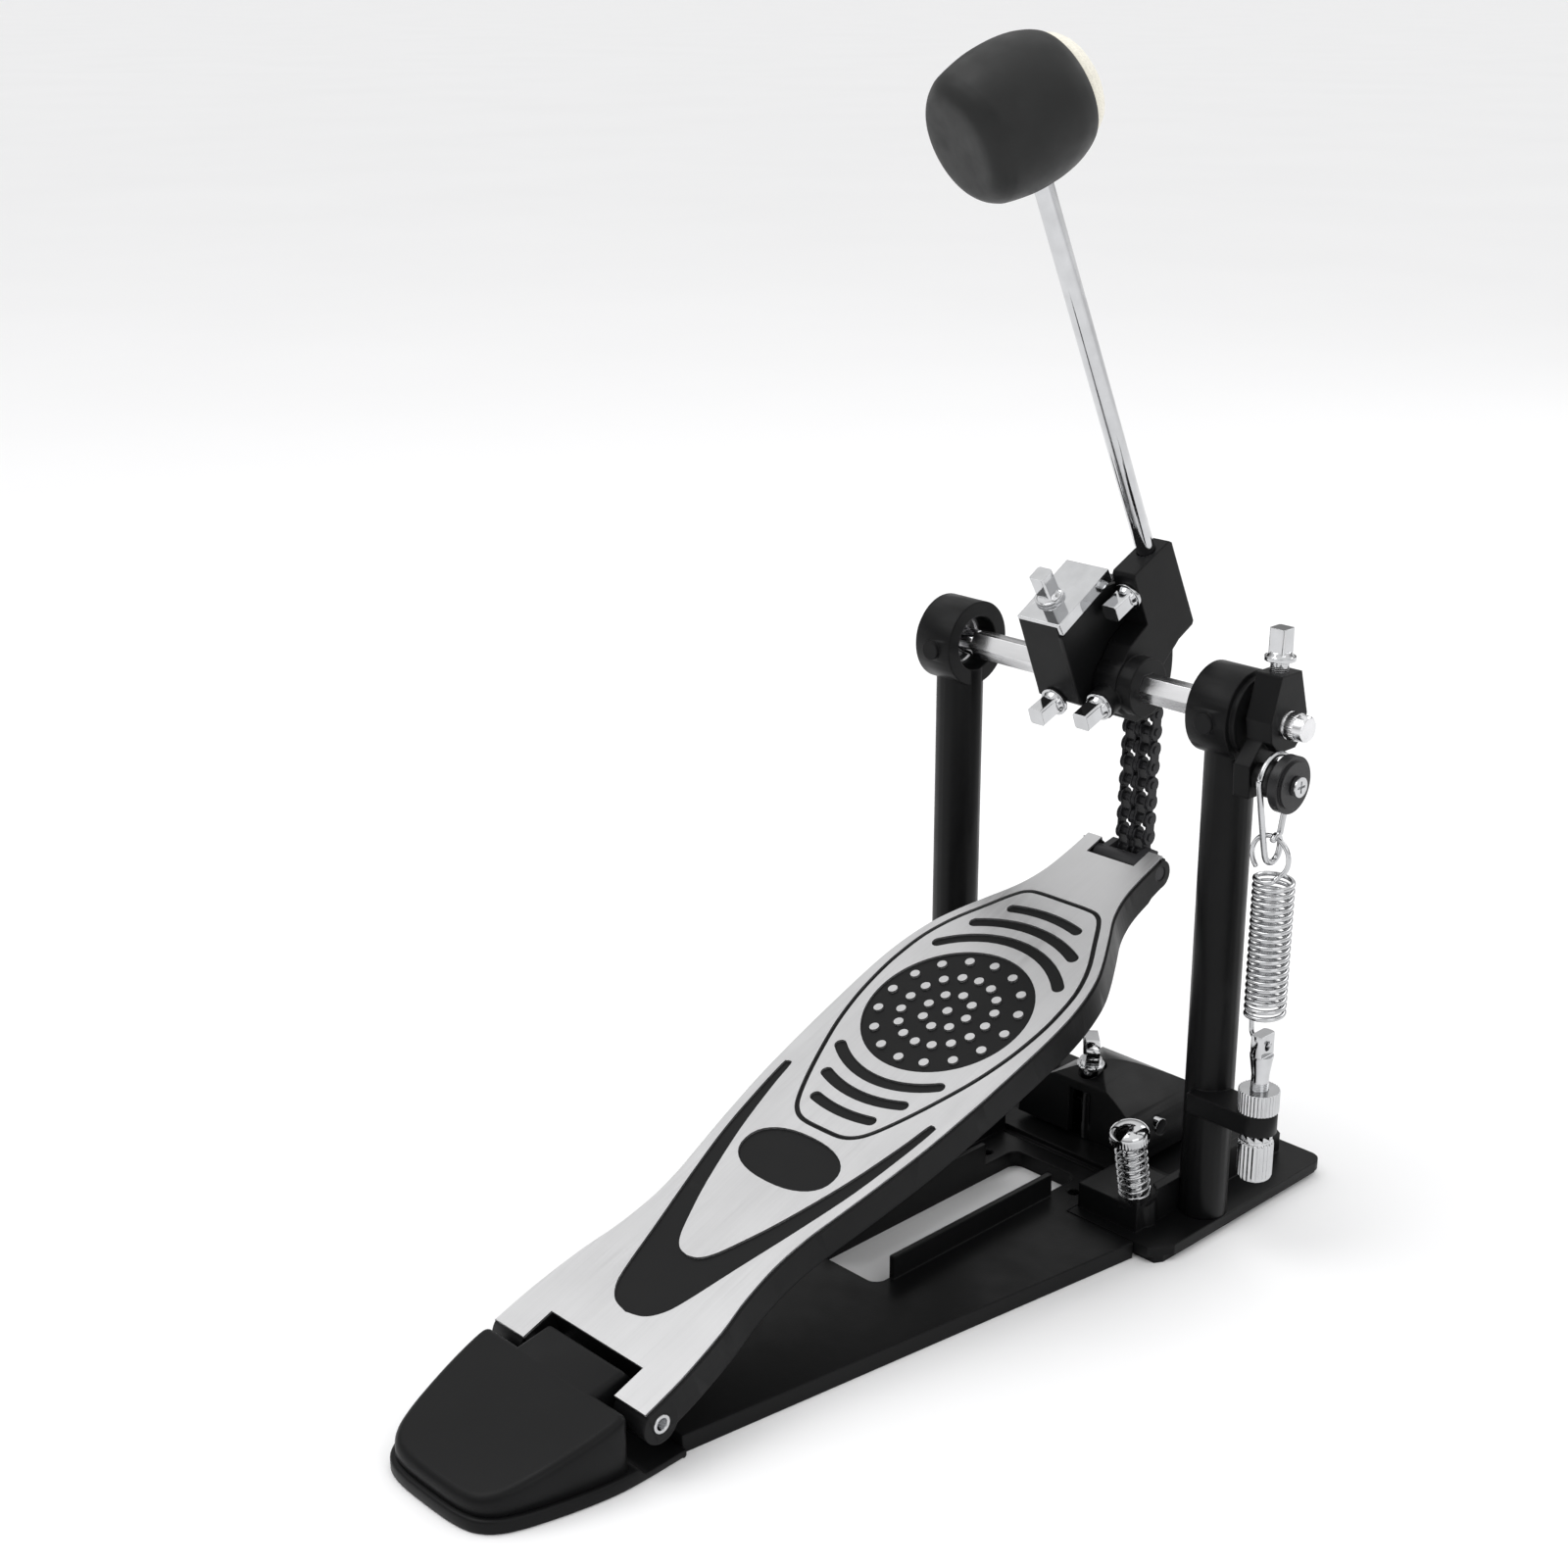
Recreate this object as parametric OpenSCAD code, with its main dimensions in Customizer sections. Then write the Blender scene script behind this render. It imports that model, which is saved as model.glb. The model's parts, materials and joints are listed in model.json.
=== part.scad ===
// Single bass drum pedal with a double chain drive, mm.
// X points to the player's right, Y towards the drum, Z up.
// The origin is on the floor, in the mid-plane, under the axle.

/* [Frame] */
// Distance of each post from the mid-plane
post_x = 57.5; // [55:0.5:60]
// Radius of a post
post_r = 8.15; // [7.5:0.05:9]
// Height of the axle above the floor
axle_z = 183.3; // [175:0.1:195]
// Outer radius of a bearing head
head_r = 14.7; // [13:0.1:16]
// Length of a bearing head along the axle
head_len = 15.3; // [14:0.1:16]
// Height of the pressed base plate
base_h = 6; // [5:0.5:7]
// Sheet thickness of the base plate
sheet = 2; // [1.5:0.1:2.5]

/* [Footboard] */
// Length of the footboard's top face along its slope
board_len = 269; // [265:1:273]
// Slope of the footboard at rest, degrees
board_tilt = 20.6; // [20:0.1:21]
// Thickness of the footboard's top plate
board_t = 4; // [3:0.5:5]
// Depth of the footboard's side skirt
skirt = 11; // [9:0.5:12]
// Radius of the dotted disc
disc_r = 29.3; // [26:0.1:30]

/* [Drive] */
// Chain pitch
pitch = 6.35; // [6.35]
// Sprocket teeth for a full turn
teeth = 30; // [30]
// Chain links that unwrap in a full stroke
stroke_links = 4; // [4]
// Links in the hanging chain
hang_links = 11; // [11]

/* [Beater] */
// Lean of the beater rod from vertical at rest, degrees
rod_lean = 25.7; // [24:0.1:27]
// Radius of the beater rod
rod_r = 3.15; // [3:0.05:3.5]
// Distance of the head's centre above the axle along the rod
head_u = 189.9; // [150:0.1:200]
// Turn of the head about its rod, degrees
head_turn = 15; // [0:1:20]

/* [Spring] */
// Number of coils in the return spring
coils = 20; // [16:1:24]
// Wire radius of the return spring
wire_r = 0.8; // [0.6:0.05:1]
// Mean coil radius of the return spring
coil_r = 6; // [5.5:0.1:6.5]

/* [Hidden] */

$fn = 48;
e = 0.5;            // overrun of a cut past the face it cuts
fit = 0.05;         // radial clearance of a running fit
gap = 0.3;          // clearance between faces of different bodies

// Colours
black = [0.07, 0.07, 0.075];
dark = [0.16, 0.16, 0.17];
chrome = [0.85, 0.86, 0.88];
alloy = [0.78, 0.79, 0.8];
cream = [0.93, 0.9, 0.8];

// Heel hinge and footboard frame
heel_y = -228.5;
heel_z = 21.7;
board_drop = 6.64;  // hinge axis below the top face
hinge_s = 3.17;     // hinge axis forward of the heel edge
face_t = 0.8;       // height of the bare metal lands
hinge_y = heel_y + hinge_s * cos(board_tilt) + board_drop * sin(board_tilt);
hinge_z = heel_z + hinge_s * sin(board_tilt) - board_drop * cos(board_tilt);
hinge_pin_r = 3;
lug_r = 6.4;
toe_s = board_len - 3.9;
toe_drop = 4.7;
toe_pin_r = 2.5;
toe_half = 10.3;    // half width of the toe notch
heel_half = 21;     // half width of the heel notch
heel_cut = 11.6;
toe_cut = 8.8;

// Half width of the footboard's bare face, at distances from the heel edge
board_half = [
  [0, 34.4], [15, 34], [33, 32], [46, 29.4], [60, 28.1], [73, 28.8], [86, 31], [101, 33.6],
  [120, 36.3], [140, 38], [160, 39], [178, 39.4], [190, 38.8], [200, 37.2], [208, 34.9],
  [216, 31.2], [225, 26.3], [235, 20.8], [245, 17.7], [256, 16.6], [269, 16.3]
];
edge_w = 0.8;       // black border outside the bare face

// Chain and sprocket
step = 360 / teeth;
pitch_r = pitch / (2 * sin(step / 2));
tangent_a = -1.5;   // polar angle of the top pin of the hanging chain
strand_x = 3.2;
plate_h = 2.9;      // half height of a link plate
roller_r = 1.65;
pin_r = 1.1;
core_r = 27;
cheek_r = 32.3;
top_y = pitch_r * cos(tangent_a);
top_z = axle_z + pitch_r * sin(tangent_a);
low_y = top_y + hang_links * pitch * sin(tangent_a);
low_z = top_z - hang_links * pitch * cos(tangent_a);
clamp_a = 120.8;    // polar angle of the clamped end's normal
clamp_n = 33.4;     // underside of the clamp plate, from the axle
block_half = 8;
bolt_a = 201;       // polar angle of the hub bolts
last_link = 8;      // last chain link, under the clamp plate
clamp_bolt_t = -2;  // the clamp bolt along the plate
clamp_bolt_x = -2;
hub_bolt_x = 15;

// Axle
hex_r = 5;
journal_r = 4.5;
axle_end = 85.8;
end_x0 = 79;        // where the turned-down free end starts
end_r = 4.25;

// Beater
rod_x = 14.1;
rod_v = 26;         // rod axis in front of the axle
hold_x0 = 9.7;
hold_x1 = 18.7;
rod_a = 90 + rod_lean;

// Rocker and return spring
roller_y = -9;
roller_z = 168;
spring_x = 81;
lug_y = -6;
lug_z0 = 47;
lug_z1 = 54;
spring_z0 = 88;
spring_z1 = 135;
stirrup_r = 1;
ring_r = 6.8;       // ring at the top of the return spring
ring_z = 143;
eye_z = 77.5;       // eye of the swivel bolt
bolt_r = 2.9;       // thread radius of the small bolts

// Hoop clamp
jaw_y = 17;
jaw_z = 19;
jaw_pin_r = 3;
wing_y = 9.5;

// Floor spurs
spur_x = 46;
spur_y = -19.5;
spur_tilt = 11;
deck_z = 15;

// ---------------------------------------------------------------- helpers

// Catmull-Rom value through p at t in 0..1 between p[1] and p[2]
function cr(p, t) = 0.5 * (2 * p[1] + (p[2] - p[0]) * t
  + (2 * p[0] - 5 * p[1] + 4 * p[2] - p[3]) * t * t
  + (3 * p[1] - p[0] - 3 * p[2] + p[3]) * t * t * t);
function pick(p, i) = p[max(0, min(len(p) - 1, i))];
function smooth(p, n = 5) = concat(
  [for (i = [0:len(p) - 2]) for (k = [0:n - 1])
    cr([pick(p, i - 1), p[i], p[i + 1], pick(p, i + 2)], k / n)],
  [p[len(p) - 1]]);
function flipped(p) = [for (i = [len(p) - 1:-1:0]) [-p[i].x, p[i].y]];
function swapped(p) = [for (q = p) [q.y, q.x]];
function unit(v) = v / norm(v);
// Points moved inwards by d along the normal of a closed outline
function inset(p, d) = let (n = len(p)) [for (i = [0:n - 1])
  let (t = unit(p[(i + 1) % n] - p[(i + n - 1) % n])) p[i] + d * [-t.y, t.x]];

// A profile drawn in Y and Z, pulled along X from x0 to x1
module yz(x0, x1) {
  translate([x0, 0, 0]) rotate([90, 0, 90]) linear_extrude(x1 - x0) children();
}
// A round bar along X
module bar_x(x0, x1, r) {
  translate([x0, 0, 0]) rotate([0, 90, 0]) cylinder(h = x1 - x0, r = r);
}
// Moves +Z to the polar direction a in the Y-Z plane
module polar(a) {
  rotate([a - 90, 0, 0]) children();
}
module at_axle() {
  translate([0, 0, axle_z]) children();
}
module on_board() {
  translate([0, heel_y, heel_z]) rotate([board_tilt, 0, 0]) children();
}
module mirrored() {
  children();
  mirror([1, 0, 0]) children();
}
// A round rod between two points
module rod(p, q, r) {
  d = q - p;
  translate(p) rotate([0, acos(d.z / norm(d)), atan2(d.y, d.x)])
    cylinder(h = norm(d), r = r);
}
// Key bolt: square head, waist, flange and shank; the flange seats at z = 0
module key_bolt(shank, head = 9) {
  translate([0, 0, -shank]) cylinder(h = shank, r = bolt_r);
  cylinder(h = 1.2, r = 4.9);
  translate([0, 0, 1.2]) cylinder(h = 1.6, r1 = 4.2, r2 = 3.3);
  intersection() {
    translate([-2.9, -2.9, 1.2]) cube([5.8, 5.8, head]);
    translate([0, 0, 1.2]) cylinder(h = head, r = 3.7);
  }
}
// Knurled disc with shallow flutes, bored, standing on z = 0
module knurled(h, r, bore, n = 30) {
  difference() {
    cylinder(h = h, r = r);
    translate([0, 0, -e]) cylinder(h = h + 2 * e, r = bore);
    for (i = [0:n - 1]) rotate(i * 360 / n) translate([r + 0.25, 0, -e])
      cylinder(h = h + 2 * e, r = 0.55, $fn = 8);
  }
}

// ---------------------------------------------------------------- chain

module plate_2d() {
  for (s = [0, pitch]) translate([s, 0]) circle(r = plate_h);
  translate([0, -plate_h * 0.72]) square([pitch, plate_h * 1.44]);
}
// Inner link: four plates and four rollers; bored for pins at either end
module inner_link(bored = [true, true]) {
  difference() {
    mirrored() {
      yz(0.95, 1.65) plate_2d();
      yz(4.75, 5.45) plate_2d();
      for (s = [0, pitch]) translate([0, s, 0]) bar_x(1.6, 4.8, roller_r);
    }
    for (i = [0, 1]) if (bored[i]) translate([0, i * pitch, 0])
      bar_x(-6, 6, pin_r + fit);
  }
}
// Outer link: two outer plates, a middle plate, and pins at the ends asked for
module outer_link(pins = [true, true]) {
  yz(-0.7, 0.7) plate_2d();
  mirrored() yz(5.7, 6.4) plate_2d();
  for (i = [0, 1]) translate([0, i * pitch, 0]) {
    if (pins[i]) bar_x(-6.9, 6.9, pin_r);
    mirrored() bar_x(6.3, 6.9, 1.4);
  }
}
// Places a link whose lower pin is at wrap index k, pointing to index k + 1
module wrapped_at(k) {
  a = tangent_a + k * step;
  translate([0, pitch_r * cos(a), axle_z + pitch_r * sin(a)])
    rotate([90 + a + step / 2, 0, 0]) children();
}

module chain_link_1() {
  color(dark) wrapped_at(0) outer_link([false, true]);
}
module chain_link_2() {
  color(dark) wrapped_at(1) inner_link();
}
module chain_link_3() {
  color(dark) wrapped_at(2) outer_link();
}
module chain_link_4() {
  color(dark) wrapped_at(3) inner_link();
}
// The part of the chain that never leaves the sprocket; it ends under the clamp plate
module chain_wrapped() {
  color(dark) for (k = [stroke_links:last_link]) wrapped_at(k) {
    if (k % 2 == 0) outer_link();
    else inner_link([false, false]);
  }
}
module chain_hanging() {
  color(dark) translate([0, low_y, low_z]) rotate([90 + tangent_a, 0, 0]) {
    for (k = [0:hang_links - 1]) translate([0, k * pitch, 0]) {
      if (k % 2 == 1) outer_link();
      else inner_link([k == 0, false]);
    }
  }
}

// ---------------------------------------------------------------- frame

base_rear = -213;
base_front = -34.4;
slot_half = 14;
slot_rear = -114;
slot_front = -13.6;
function base_w(y) = 34 + 0.13 * (y + 198);

// Plan of the base plate, shrunk by d on every side
module base_2d(d) {
  polygon([
    [-base_w(base_rear) + d, base_rear + d], [base_w(base_rear) - d, base_rear + d],
    [base_w(base_front) - d, base_front - d], [26.6 - d, base_front - d],
    [26.6 - d, -6 - d], [-26.6 + d, -6 - d],
    [-26.6 + d, base_front - d], [-base_w(base_front) + d, base_front - d]
  ]);
}
module slot_2d(d) {
  r = 4 + d;
  for (x = [-1, 1], y = [slot_rear + 4, slot_front - 4])
    translate([x * (slot_half - 4), y]) circle(r = r);
  translate([-slot_half + 4, slot_rear - d]) square([2 * slot_half - 8, slot_front - slot_rear + 2 * d]);
  translate([-slot_half - d, slot_rear + 4]) square([2 * slot_half + 2 * d, slot_front - slot_rear - 8]);
}
module base_plate() {
  color(black) {
    difference() {
      union() {
        linear_extrude(base_h) base_2d(0);
        translate([-22, base_rear - 32, 0]) cube([44, 34, 2]);
      }
      difference() {
        translate([0, 0, -e]) linear_extrude(base_h - sheet + e) base_2d(sheet);
        linear_extrude(base_h) slot_2d(sheet);
        translate([-22, base_rear, -e]) cube([44, 12, 2 + e]);
      }
      translate([0, 0, -e]) linear_extrude(base_h + 2 * e) slot_2d(0);
      for (x = [-14, 14]) translate([x, base_rear - 20, -e]) cylinder(h = 4, r = 2.1);
      for (x = [-20, 20]) translate([x, base_front + 12, -e]) cylinder(h = 10, r = 2.1);
    }
    // upturned flanges along the slot
    mirrored() translate([slot_half, slot_rear + 6, base_h])
      cube([sheet, slot_front - slot_rear - 22, 8]);
  }
}

nose_y = -280.5;
// Right-hand side of the heel block's plan
heel_side = smooth([[0, nose_y], [11, nose_y + 0.3], [19, nose_y + 2], [24.4, -274.2], [27.8, -267.5],
  [30.6, -258], [33, -247], [34.3, -237], [34.4, -227], [33.9, base_rear]], 4);
// Plan of the heel block, shrunk by d
module heel_2d(d) {
  polygon(inset(concat(heel_side, flipped([for (i = [1:len(heel_side) - 1]) heel_side[i]])), d));
}
module heel_block() {
  rear = -232.7;
  color(black) difference() {
    union() {
      // lower rim
      difference() {
        linear_extrude(4.5) heel_2d(0);
        translate([-60, rear + 4, 2.4]) cube([120, 60, 10]);
      }
      // sloping cover
      intersection() {
        linear_extrude(30) heel_2d(1.6);
        yz(-40, 40) polygon([[nose_y, 4], [nose_y, 7.4], [nose_y + 2.6, 10],
          [rear, 23.2], [rear, 4]]);
      }
      // tongue and hinge knuckle
      yz(-18, 18) {
        polygon([[rear - 1, 4], [rear - 1, 22.9], [hinge_y + 1.4, 24.7],
          [hinge_y + 5.2, hinge_z + 2], [hinge_y + 5.2, hinge_z - 2], [hinge_y + 1, 4]]);
        translate([hinge_y, hinge_z]) circle(r = 6);
      }
    }
    translate([0, hinge_y, hinge_z]) bar_x(-20, 20, hinge_pin_r);
    translate([-22.3, base_rear - 32.3, -e]) cube([44.6, 40, 2.1 + e]);
    for (x = [-14, 14]) translate([x, base_rear - 20, 0]) cylinder(h = 9, r = 1.7);
  }
}

module hinge_pin() {
  color(chrome) translate([0, hinge_y, hinge_z]) difference() {
    bar_x(-35.6, 35.6, hinge_pin_r - fit);
    bar_x(-36, 36, 1.9);
  }
}

cast_half = 65.8;
flange_h = 6;
cast_rear = -34;
cast_front = 60;
module cast_2d() {
  difference() {
    union() {
      translate([-cast_half + 5, cast_rear]) square([2 * cast_half - 10, cast_front - cast_rear]);
      translate([-cast_half, cast_rear + 8]) square([2 * cast_half, cast_front - cast_rear - 13]);
      for (x = [-1, 1]) {
        translate([x * (cast_half - 5), cast_front - 5]) circle(r = 5);
        polygon([[x * (cast_half - 5), cast_rear], [x * cast_half, cast_rear + 8],
          [x * (cast_half - 5), cast_rear + 8]]);
      }
    }
    translate([-26.8, cast_rear - e]) square([53.6, 28 + e + 0.2]);
  }
}
wall_x = 50;
module cross_casting() {
  color(black) difference() {
    union() {
      translate([0, 0, 2.4]) linear_extrude(flange_h - 2.4) cast_2d();
      // foot of the flange, set back under its edge
      linear_extrude(3) intersection() {
        cast_2d();
        translate([-cast_half + 2, cast_rear + 2]) square([2 * cast_half - 4, cast_front - cast_rear - 4]);
      }
      // raised deck on each side of the base plate's tongue
      mirrored() translate([27.2, -29, 0]) cube([wall_x + 2 - 27.2, 25, deck_z]);
      // side walls
      mirrored() yz(wall_x - 1.6, wall_x + 2) polygon([[-29, 0], [-29, deck_z + 2],
        [-26, deck_z + 3], [48, deck_z + 3], [52.6, 13], [52.6, 0]]);
      // cross beam between the posts
      translate([-wall_x, -4, 0]) cube([2 * wall_x, 12, 8]);
      // lower jaw
      translate([-18.6, 24, 0]) cube([37.2, 34, 12]);
      translate([-25, 33, 0]) cube([50, 25, 12]);
      // lugs for the jaw pin
      mirrored() yz(12.5, 15.6) {
        translate([jaw_y - 5.2, 0]) square([10.4, jaw_z]);
        translate([jaw_y, jaw_z]) circle(r = 5.2);
      }
      // bosses for the floor spurs
      mirrored() translate([spur_x, spur_y, 0]) rotate([spur_tilt, 0, 0])
        translate([0, 0, 6]) cylinder(h = deck_z - 6, r = 7);
    }
    // bores for the floor spurs
    mirrored() translate([spur_x, spur_y, 0]) rotate([spur_tilt, 0, 0])
      translate([0, 0, -10]) cylinder(h = 40, r = 3 + fit);
    // the side walls stand back from the spur springs
    mirrored() spur_frame() translate([0, 0, deck_z + 1.35]) cylinder(h = 30, r = 7.3);
    translate([0, jaw_y, jaw_z]) bar_x(-20, 20, jaw_pin_r);
    // screw holes under the posts
    mirrored() translate([post_x, 0, -e]) {
      cylinder(h = 10, r = 3.1);
      cylinder(h = 2.2 + e, r = 5.2);
    }
    mirrored() translate([post_x, 0, flange_h]) cylinder(h = 30, r = post_r);
    translate([-80, -60, -10]) cube([160, 160, 10]);
  }
}

// A post with its bearing head; the head's inner face is towards x = 0
module post() {
  x0 = post_x - head_len / 2;
  x1 = post_x + head_len / 2;
  difference() {
    union() {
      translate([post_x, 0, flange_h]) cylinder(h = axle_z - flange_h - 8, r = post_r);
      at_axle() bar_x(x0, x1, head_r);
      at_axle() bar_x(x1 - e, x1 + 1.8, head_r - 2);
      // grease boss on the player's side
      translate([post_x, 0, axle_z - 1]) rotate([90, 0, 0]) cylinder(h = head_r + 1.4, r = 3.4);
    }
    at_axle() bar_x(x0 - e, x1 - 2, 9.5);
    at_axle() bar_x(x0 - e, x1 + 4, 6);
    translate([post_x, 0, 0]) cylinder(h = 24, r = 2.55);
  }
}
module post_left() {
  color(black) mirror([1, 0, 0]) post();
}
module post_right() {
  color(black) {
    post();
    difference() {
      translate([0, 0, lug_z0]) union() {
        translate([post_x, lug_y - 6.5, 0]) cube([spring_x - post_x, 13, lug_z1 - lug_z0]);
        translate([spring_x, lug_y, 0]) cylinder(h = lug_z1 - lug_z0, r = 6.5);
      }
      translate([spring_x, lug_y, 0]) cylinder(h = 100, r = bolt_r + fit);
    }
  }
}
// Shielded ball bearing: outer ring, balls and inner ring
module bearing() {
  x1 = post_x + head_len / 2 - 2;
  at_axle() translate([x1 - 6, 0, 0]) {
    difference() {
      bar_x(0, 5.9, 9.45);
      bar_x(-e, 7, journal_r + fit);
      for (x = [-e, 5.4]) translate([x, 0, 0]) difference() {
        bar_x(0, 1, 8.2);
        bar_x(-e, 2, 5.9);
      }
    }
  }
}
module bearing_left() {
  color(chrome) mirror([1, 0, 0]) bearing();
}
module bearing_right() {
  color(chrome) bearing();
}
// Two socket screws into the posts, two into the heel block
module frame_screws() {
  color(dark) {
    mirrored() translate([post_x, 0, 0.2]) {
      cylinder(h = 18, r = 2.5);
      cylinder(h = 2, r = 5);
    }
    for (x = [-14, 14]) translate([x, base_rear - 20, 0.2]) cylinder(h = 8.4, r = 1.65);
  }
}

// ---------------------------------------------------------------- return spring

module swivel_bolt() {
  color(chrome) translate([spring_x, lug_y, 0]) difference() {
    union() {
      translate([0, 0, 36]) cylinder(h = 31, r = bolt_r);
      translate([0, 0, 67]) cylinder(h = 7, r1 = bolt_r, r2 = 3.9);
      translate([0, 0, 74]) intersection() {
        cylinder(h = 7.5, r = 4);
        translate([-2.1, -5, 0]) cube([4.2, 10, 7.5]);
      }
    }
    translate([0, 0, eye_z]) bar_x(-6, 6, 1.7);
  }
}
module return_spring() {
  rise = (spring_z1 - spring_z0) / (coils - 1);
  color(chrome) translate([spring_x, lug_y, 0]) {
    rotate_extrude() {
      for (i = [0:coils - 1]) translate([coil_r, spring_z0 + i * rise]) circle(r = wire_r, $fn = 16);
      translate([coil_r - 0.2, spring_z0]) square([0.4, spring_z1 - spring_z0]);
    }
    // lower hook through the swivel bolt's eye
    rod([coil_r, 0, spring_z0], [4.6, 0, eye_z + 4.6], wire_r);
    translate([0, 0, eye_z + 4.6]) rotate([90, 0, 0]) rotate([0, 0, 180])
      rotate_extrude(angle = 180) translate([4.6, 0]) circle(r = wire_r);
    // ring at the top
    rod([0, -coil_r, spring_z1], [0, roller_y - lug_y, ring_z - ring_r], wire_r);
    translate([0, roller_y - lug_y, ring_z]) rotate([90, 0, 0])
      rotate_extrude() translate([ring_r, 0]) circle(r = wire_r);
  }
}
// Wire stirrup round the roller's hub, hooked into the spring's ring
module stirrup() {
  y = roller_y;
  z = roller_z;
  r = 8.4;
  low = 144.5;
  color(chrome) {
    translate([spring_x, y, z]) rotate([90, 0, 90]) rotate_extrude(angle = 180)
      translate([r, 0]) circle(r = stirrup_r);
    for (s = [-1, 1]) rod([spring_x, y + s * r, z], [spring_x, y + s * 3.4, low], stirrup_r);
    translate([spring_x, y, low]) rotate([90, 0, 90]) rotate([0, 0, 180])
      rotate_extrude(angle = 180) translate([3.4, 0]) circle(r = stirrup_r);
  }
}
module lock_nut() {
  color(chrome) translate([spring_x, lug_y, lug_z1 + gap]) knurled(7.4, 6.75, bolt_r + fit, 36);
}
module tension_nut() {
  collar_z = lug_z0 - gap - 2.8;
  color(chrome) translate([spring_x, lug_y, 0]) {
    translate([0, 0, 30]) knurled(collar_z - 30, 5.9, bolt_r + fit, 24);
    translate([0, 0, collar_z - 0.2]) difference() {
      cylinder(h = 3, r = 5.25);
      translate([0, 0, -e]) cylinder(h = 5, r = bolt_r + fit);
    }
  }
}

// ---------------------------------------------------------------- hoop clamp and spurs

module hoop_pad() {
  color(dark) translate([-22, 34, 12]) cube([44, 23, 2]);
}
module jaw_pin() {
  color(chrome) translate([0, jaw_y, jaw_z]) bar_x(-26.4, 26.4, jaw_pin_r - fit);
}
// Right half of the jaw's arch seen from the player, from the foot to the crown
jaw_outer = [[28, 10.4], [27, 16], [24.5, 21], [19.4, 26], [13, 30.6], [6, 34.2], [0, 35.8]];
jaw_inner = [[19.6, 10.4], [19.6, 17], [18.6, 21.4], [15, 25], [10, 28.6], [5, 31.2], [0, 32.2]];
// Crown of the jaw seen from the side: highest behind the screw, falling towards the drum
jaw_crown = smooth([[4, 31.4], [8, 33.6], [13, 35.2], [18, 35.7], [24, 34.6], [31, 31.6], [38, 27.8],
  [44, 24.2]], 3);
function arch(p) = let (q = smooth(p, 4)) concat(q, flipped([for (i = [0:len(q) - 2]) q[i]]));
module clamp_jaw() {
  color(black) difference() {
    intersection() {
      translate([0, 44, 0]) rotate([90, 0, 0]) linear_extrude(40) polygon(arch(jaw_outer));
      yz(-30, 30) polygon(concat([[4, 0]], jaw_crown, [[44, 0]]));
    }
    // hollow, closed at the front and round the screw
    intersection() {
      translate([0, 60, 0]) rotate([90, 0, 0]) linear_extrude(60 - 6.4) polygon(arch(jaw_inner));
      yz(-30, 30) polygon(concat([[4, 0]], [for (p = jaw_crown) [p[0], p[1] - 3.5]],
        [[46, 20.3], [46, 0]]));
    }
    // notch of the front wall
    translate([-4.8, 0, 0]) cube([9.6, 10, 28]);
    // open side towards the drum
    translate([-40, 32, 0]) cube([80, 20, 20.4]);
    translate([0, jaw_y, jaw_z]) bar_x(-40, 40, jaw_pin_r);
    // slot that lets the jaw tilt about the screw
    for (dy = [0, 3]) translate([0, wing_y + dy, 20]) cylinder(h = 40, r = 3.9);
    translate([-3.9, wing_y, 20]) cube([7.8, 3, 40]);
  }
}
module wing_screw() {
  color(chrome) translate([0, wing_y, 0]) {
    translate([0, 0, 8.3]) cylinder(h = 29.5, r = 3);
    translate([0, 0, 35.8]) cylinder(h = 1.4, r = 4.9);
    translate([0, 0, 37]) cylinder(h = 2, r = 3.9);
    rotate([0, 0, -46]) translate([0, 2.4, 0]) rotate([90, 0, 0]) linear_extrude(4.8) {
      translate([-3.8, 37.6]) square([7.6, 10.1]);
      for (s = [-1, 1]) translate([s * 3.8, 44.3]) circle(r = 3.4);
      for (s = [-1, 1]) translate([s * 3, 40.8]) circle(r = 2.6);
    }
  }
}
module spur_frame() {
  translate([spur_x, spur_y, 0]) rotate([spur_tilt, 0, 0]) children();
}
module spur() {
  spur_frame() {
    translate([0, 0, 4]) cylinder(h = 36, r = 3);
    translate([0, 0, 1.4]) cylinder(h = 2.6, r1 = 0.8, r2 = 3);
    translate([0, 0, 38]) cylinder(h = 4.6, r = 6.9);
    translate([0, 0, 42.6]) cylinder(h = 1.8, r1 = 6.9, r2 = 5);
  }
}
module spur_spring() {
  n = 6;
  z0 = deck_z + 2;
  rise = (37 - z0) / (n - 1);
  spur_frame() rotate_extrude() {
    for (i = [0:n - 1]) translate([5, z0 + i * rise]) circle(r = 0.6, $fn = 16);
    translate([4.85, z0]) square([0.3, 37 - z0]);
  }
}
module spur_left() {
  color(chrome) mirror([1, 0, 0]) spur();
}
module spur_right() {
  color(chrome) spur();
}
module spur_spring_left() {
  color(chrome) mirror([1, 0, 0]) spur_spring();
}
module spur_spring_right() {
  color(chrome) spur_spring();
}

// ---------------------------------------------------------------- footboard

board_curve = smooth(swapped(board_half));
module board_2d(grow) {
  side = [for (p = board_curve) [p.x + grow, p.y]];
  difference() {
    polygon(concat(side, flipped(side)));
    translate([-heel_half + grow, -e]) square([2 * (heel_half - grow), heel_cut - grow + e]);
    translate([-toe_half + grow, board_len - toe_cut + grow]) square([2 * (toe_half - grow), 20]);
  }
}
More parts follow.
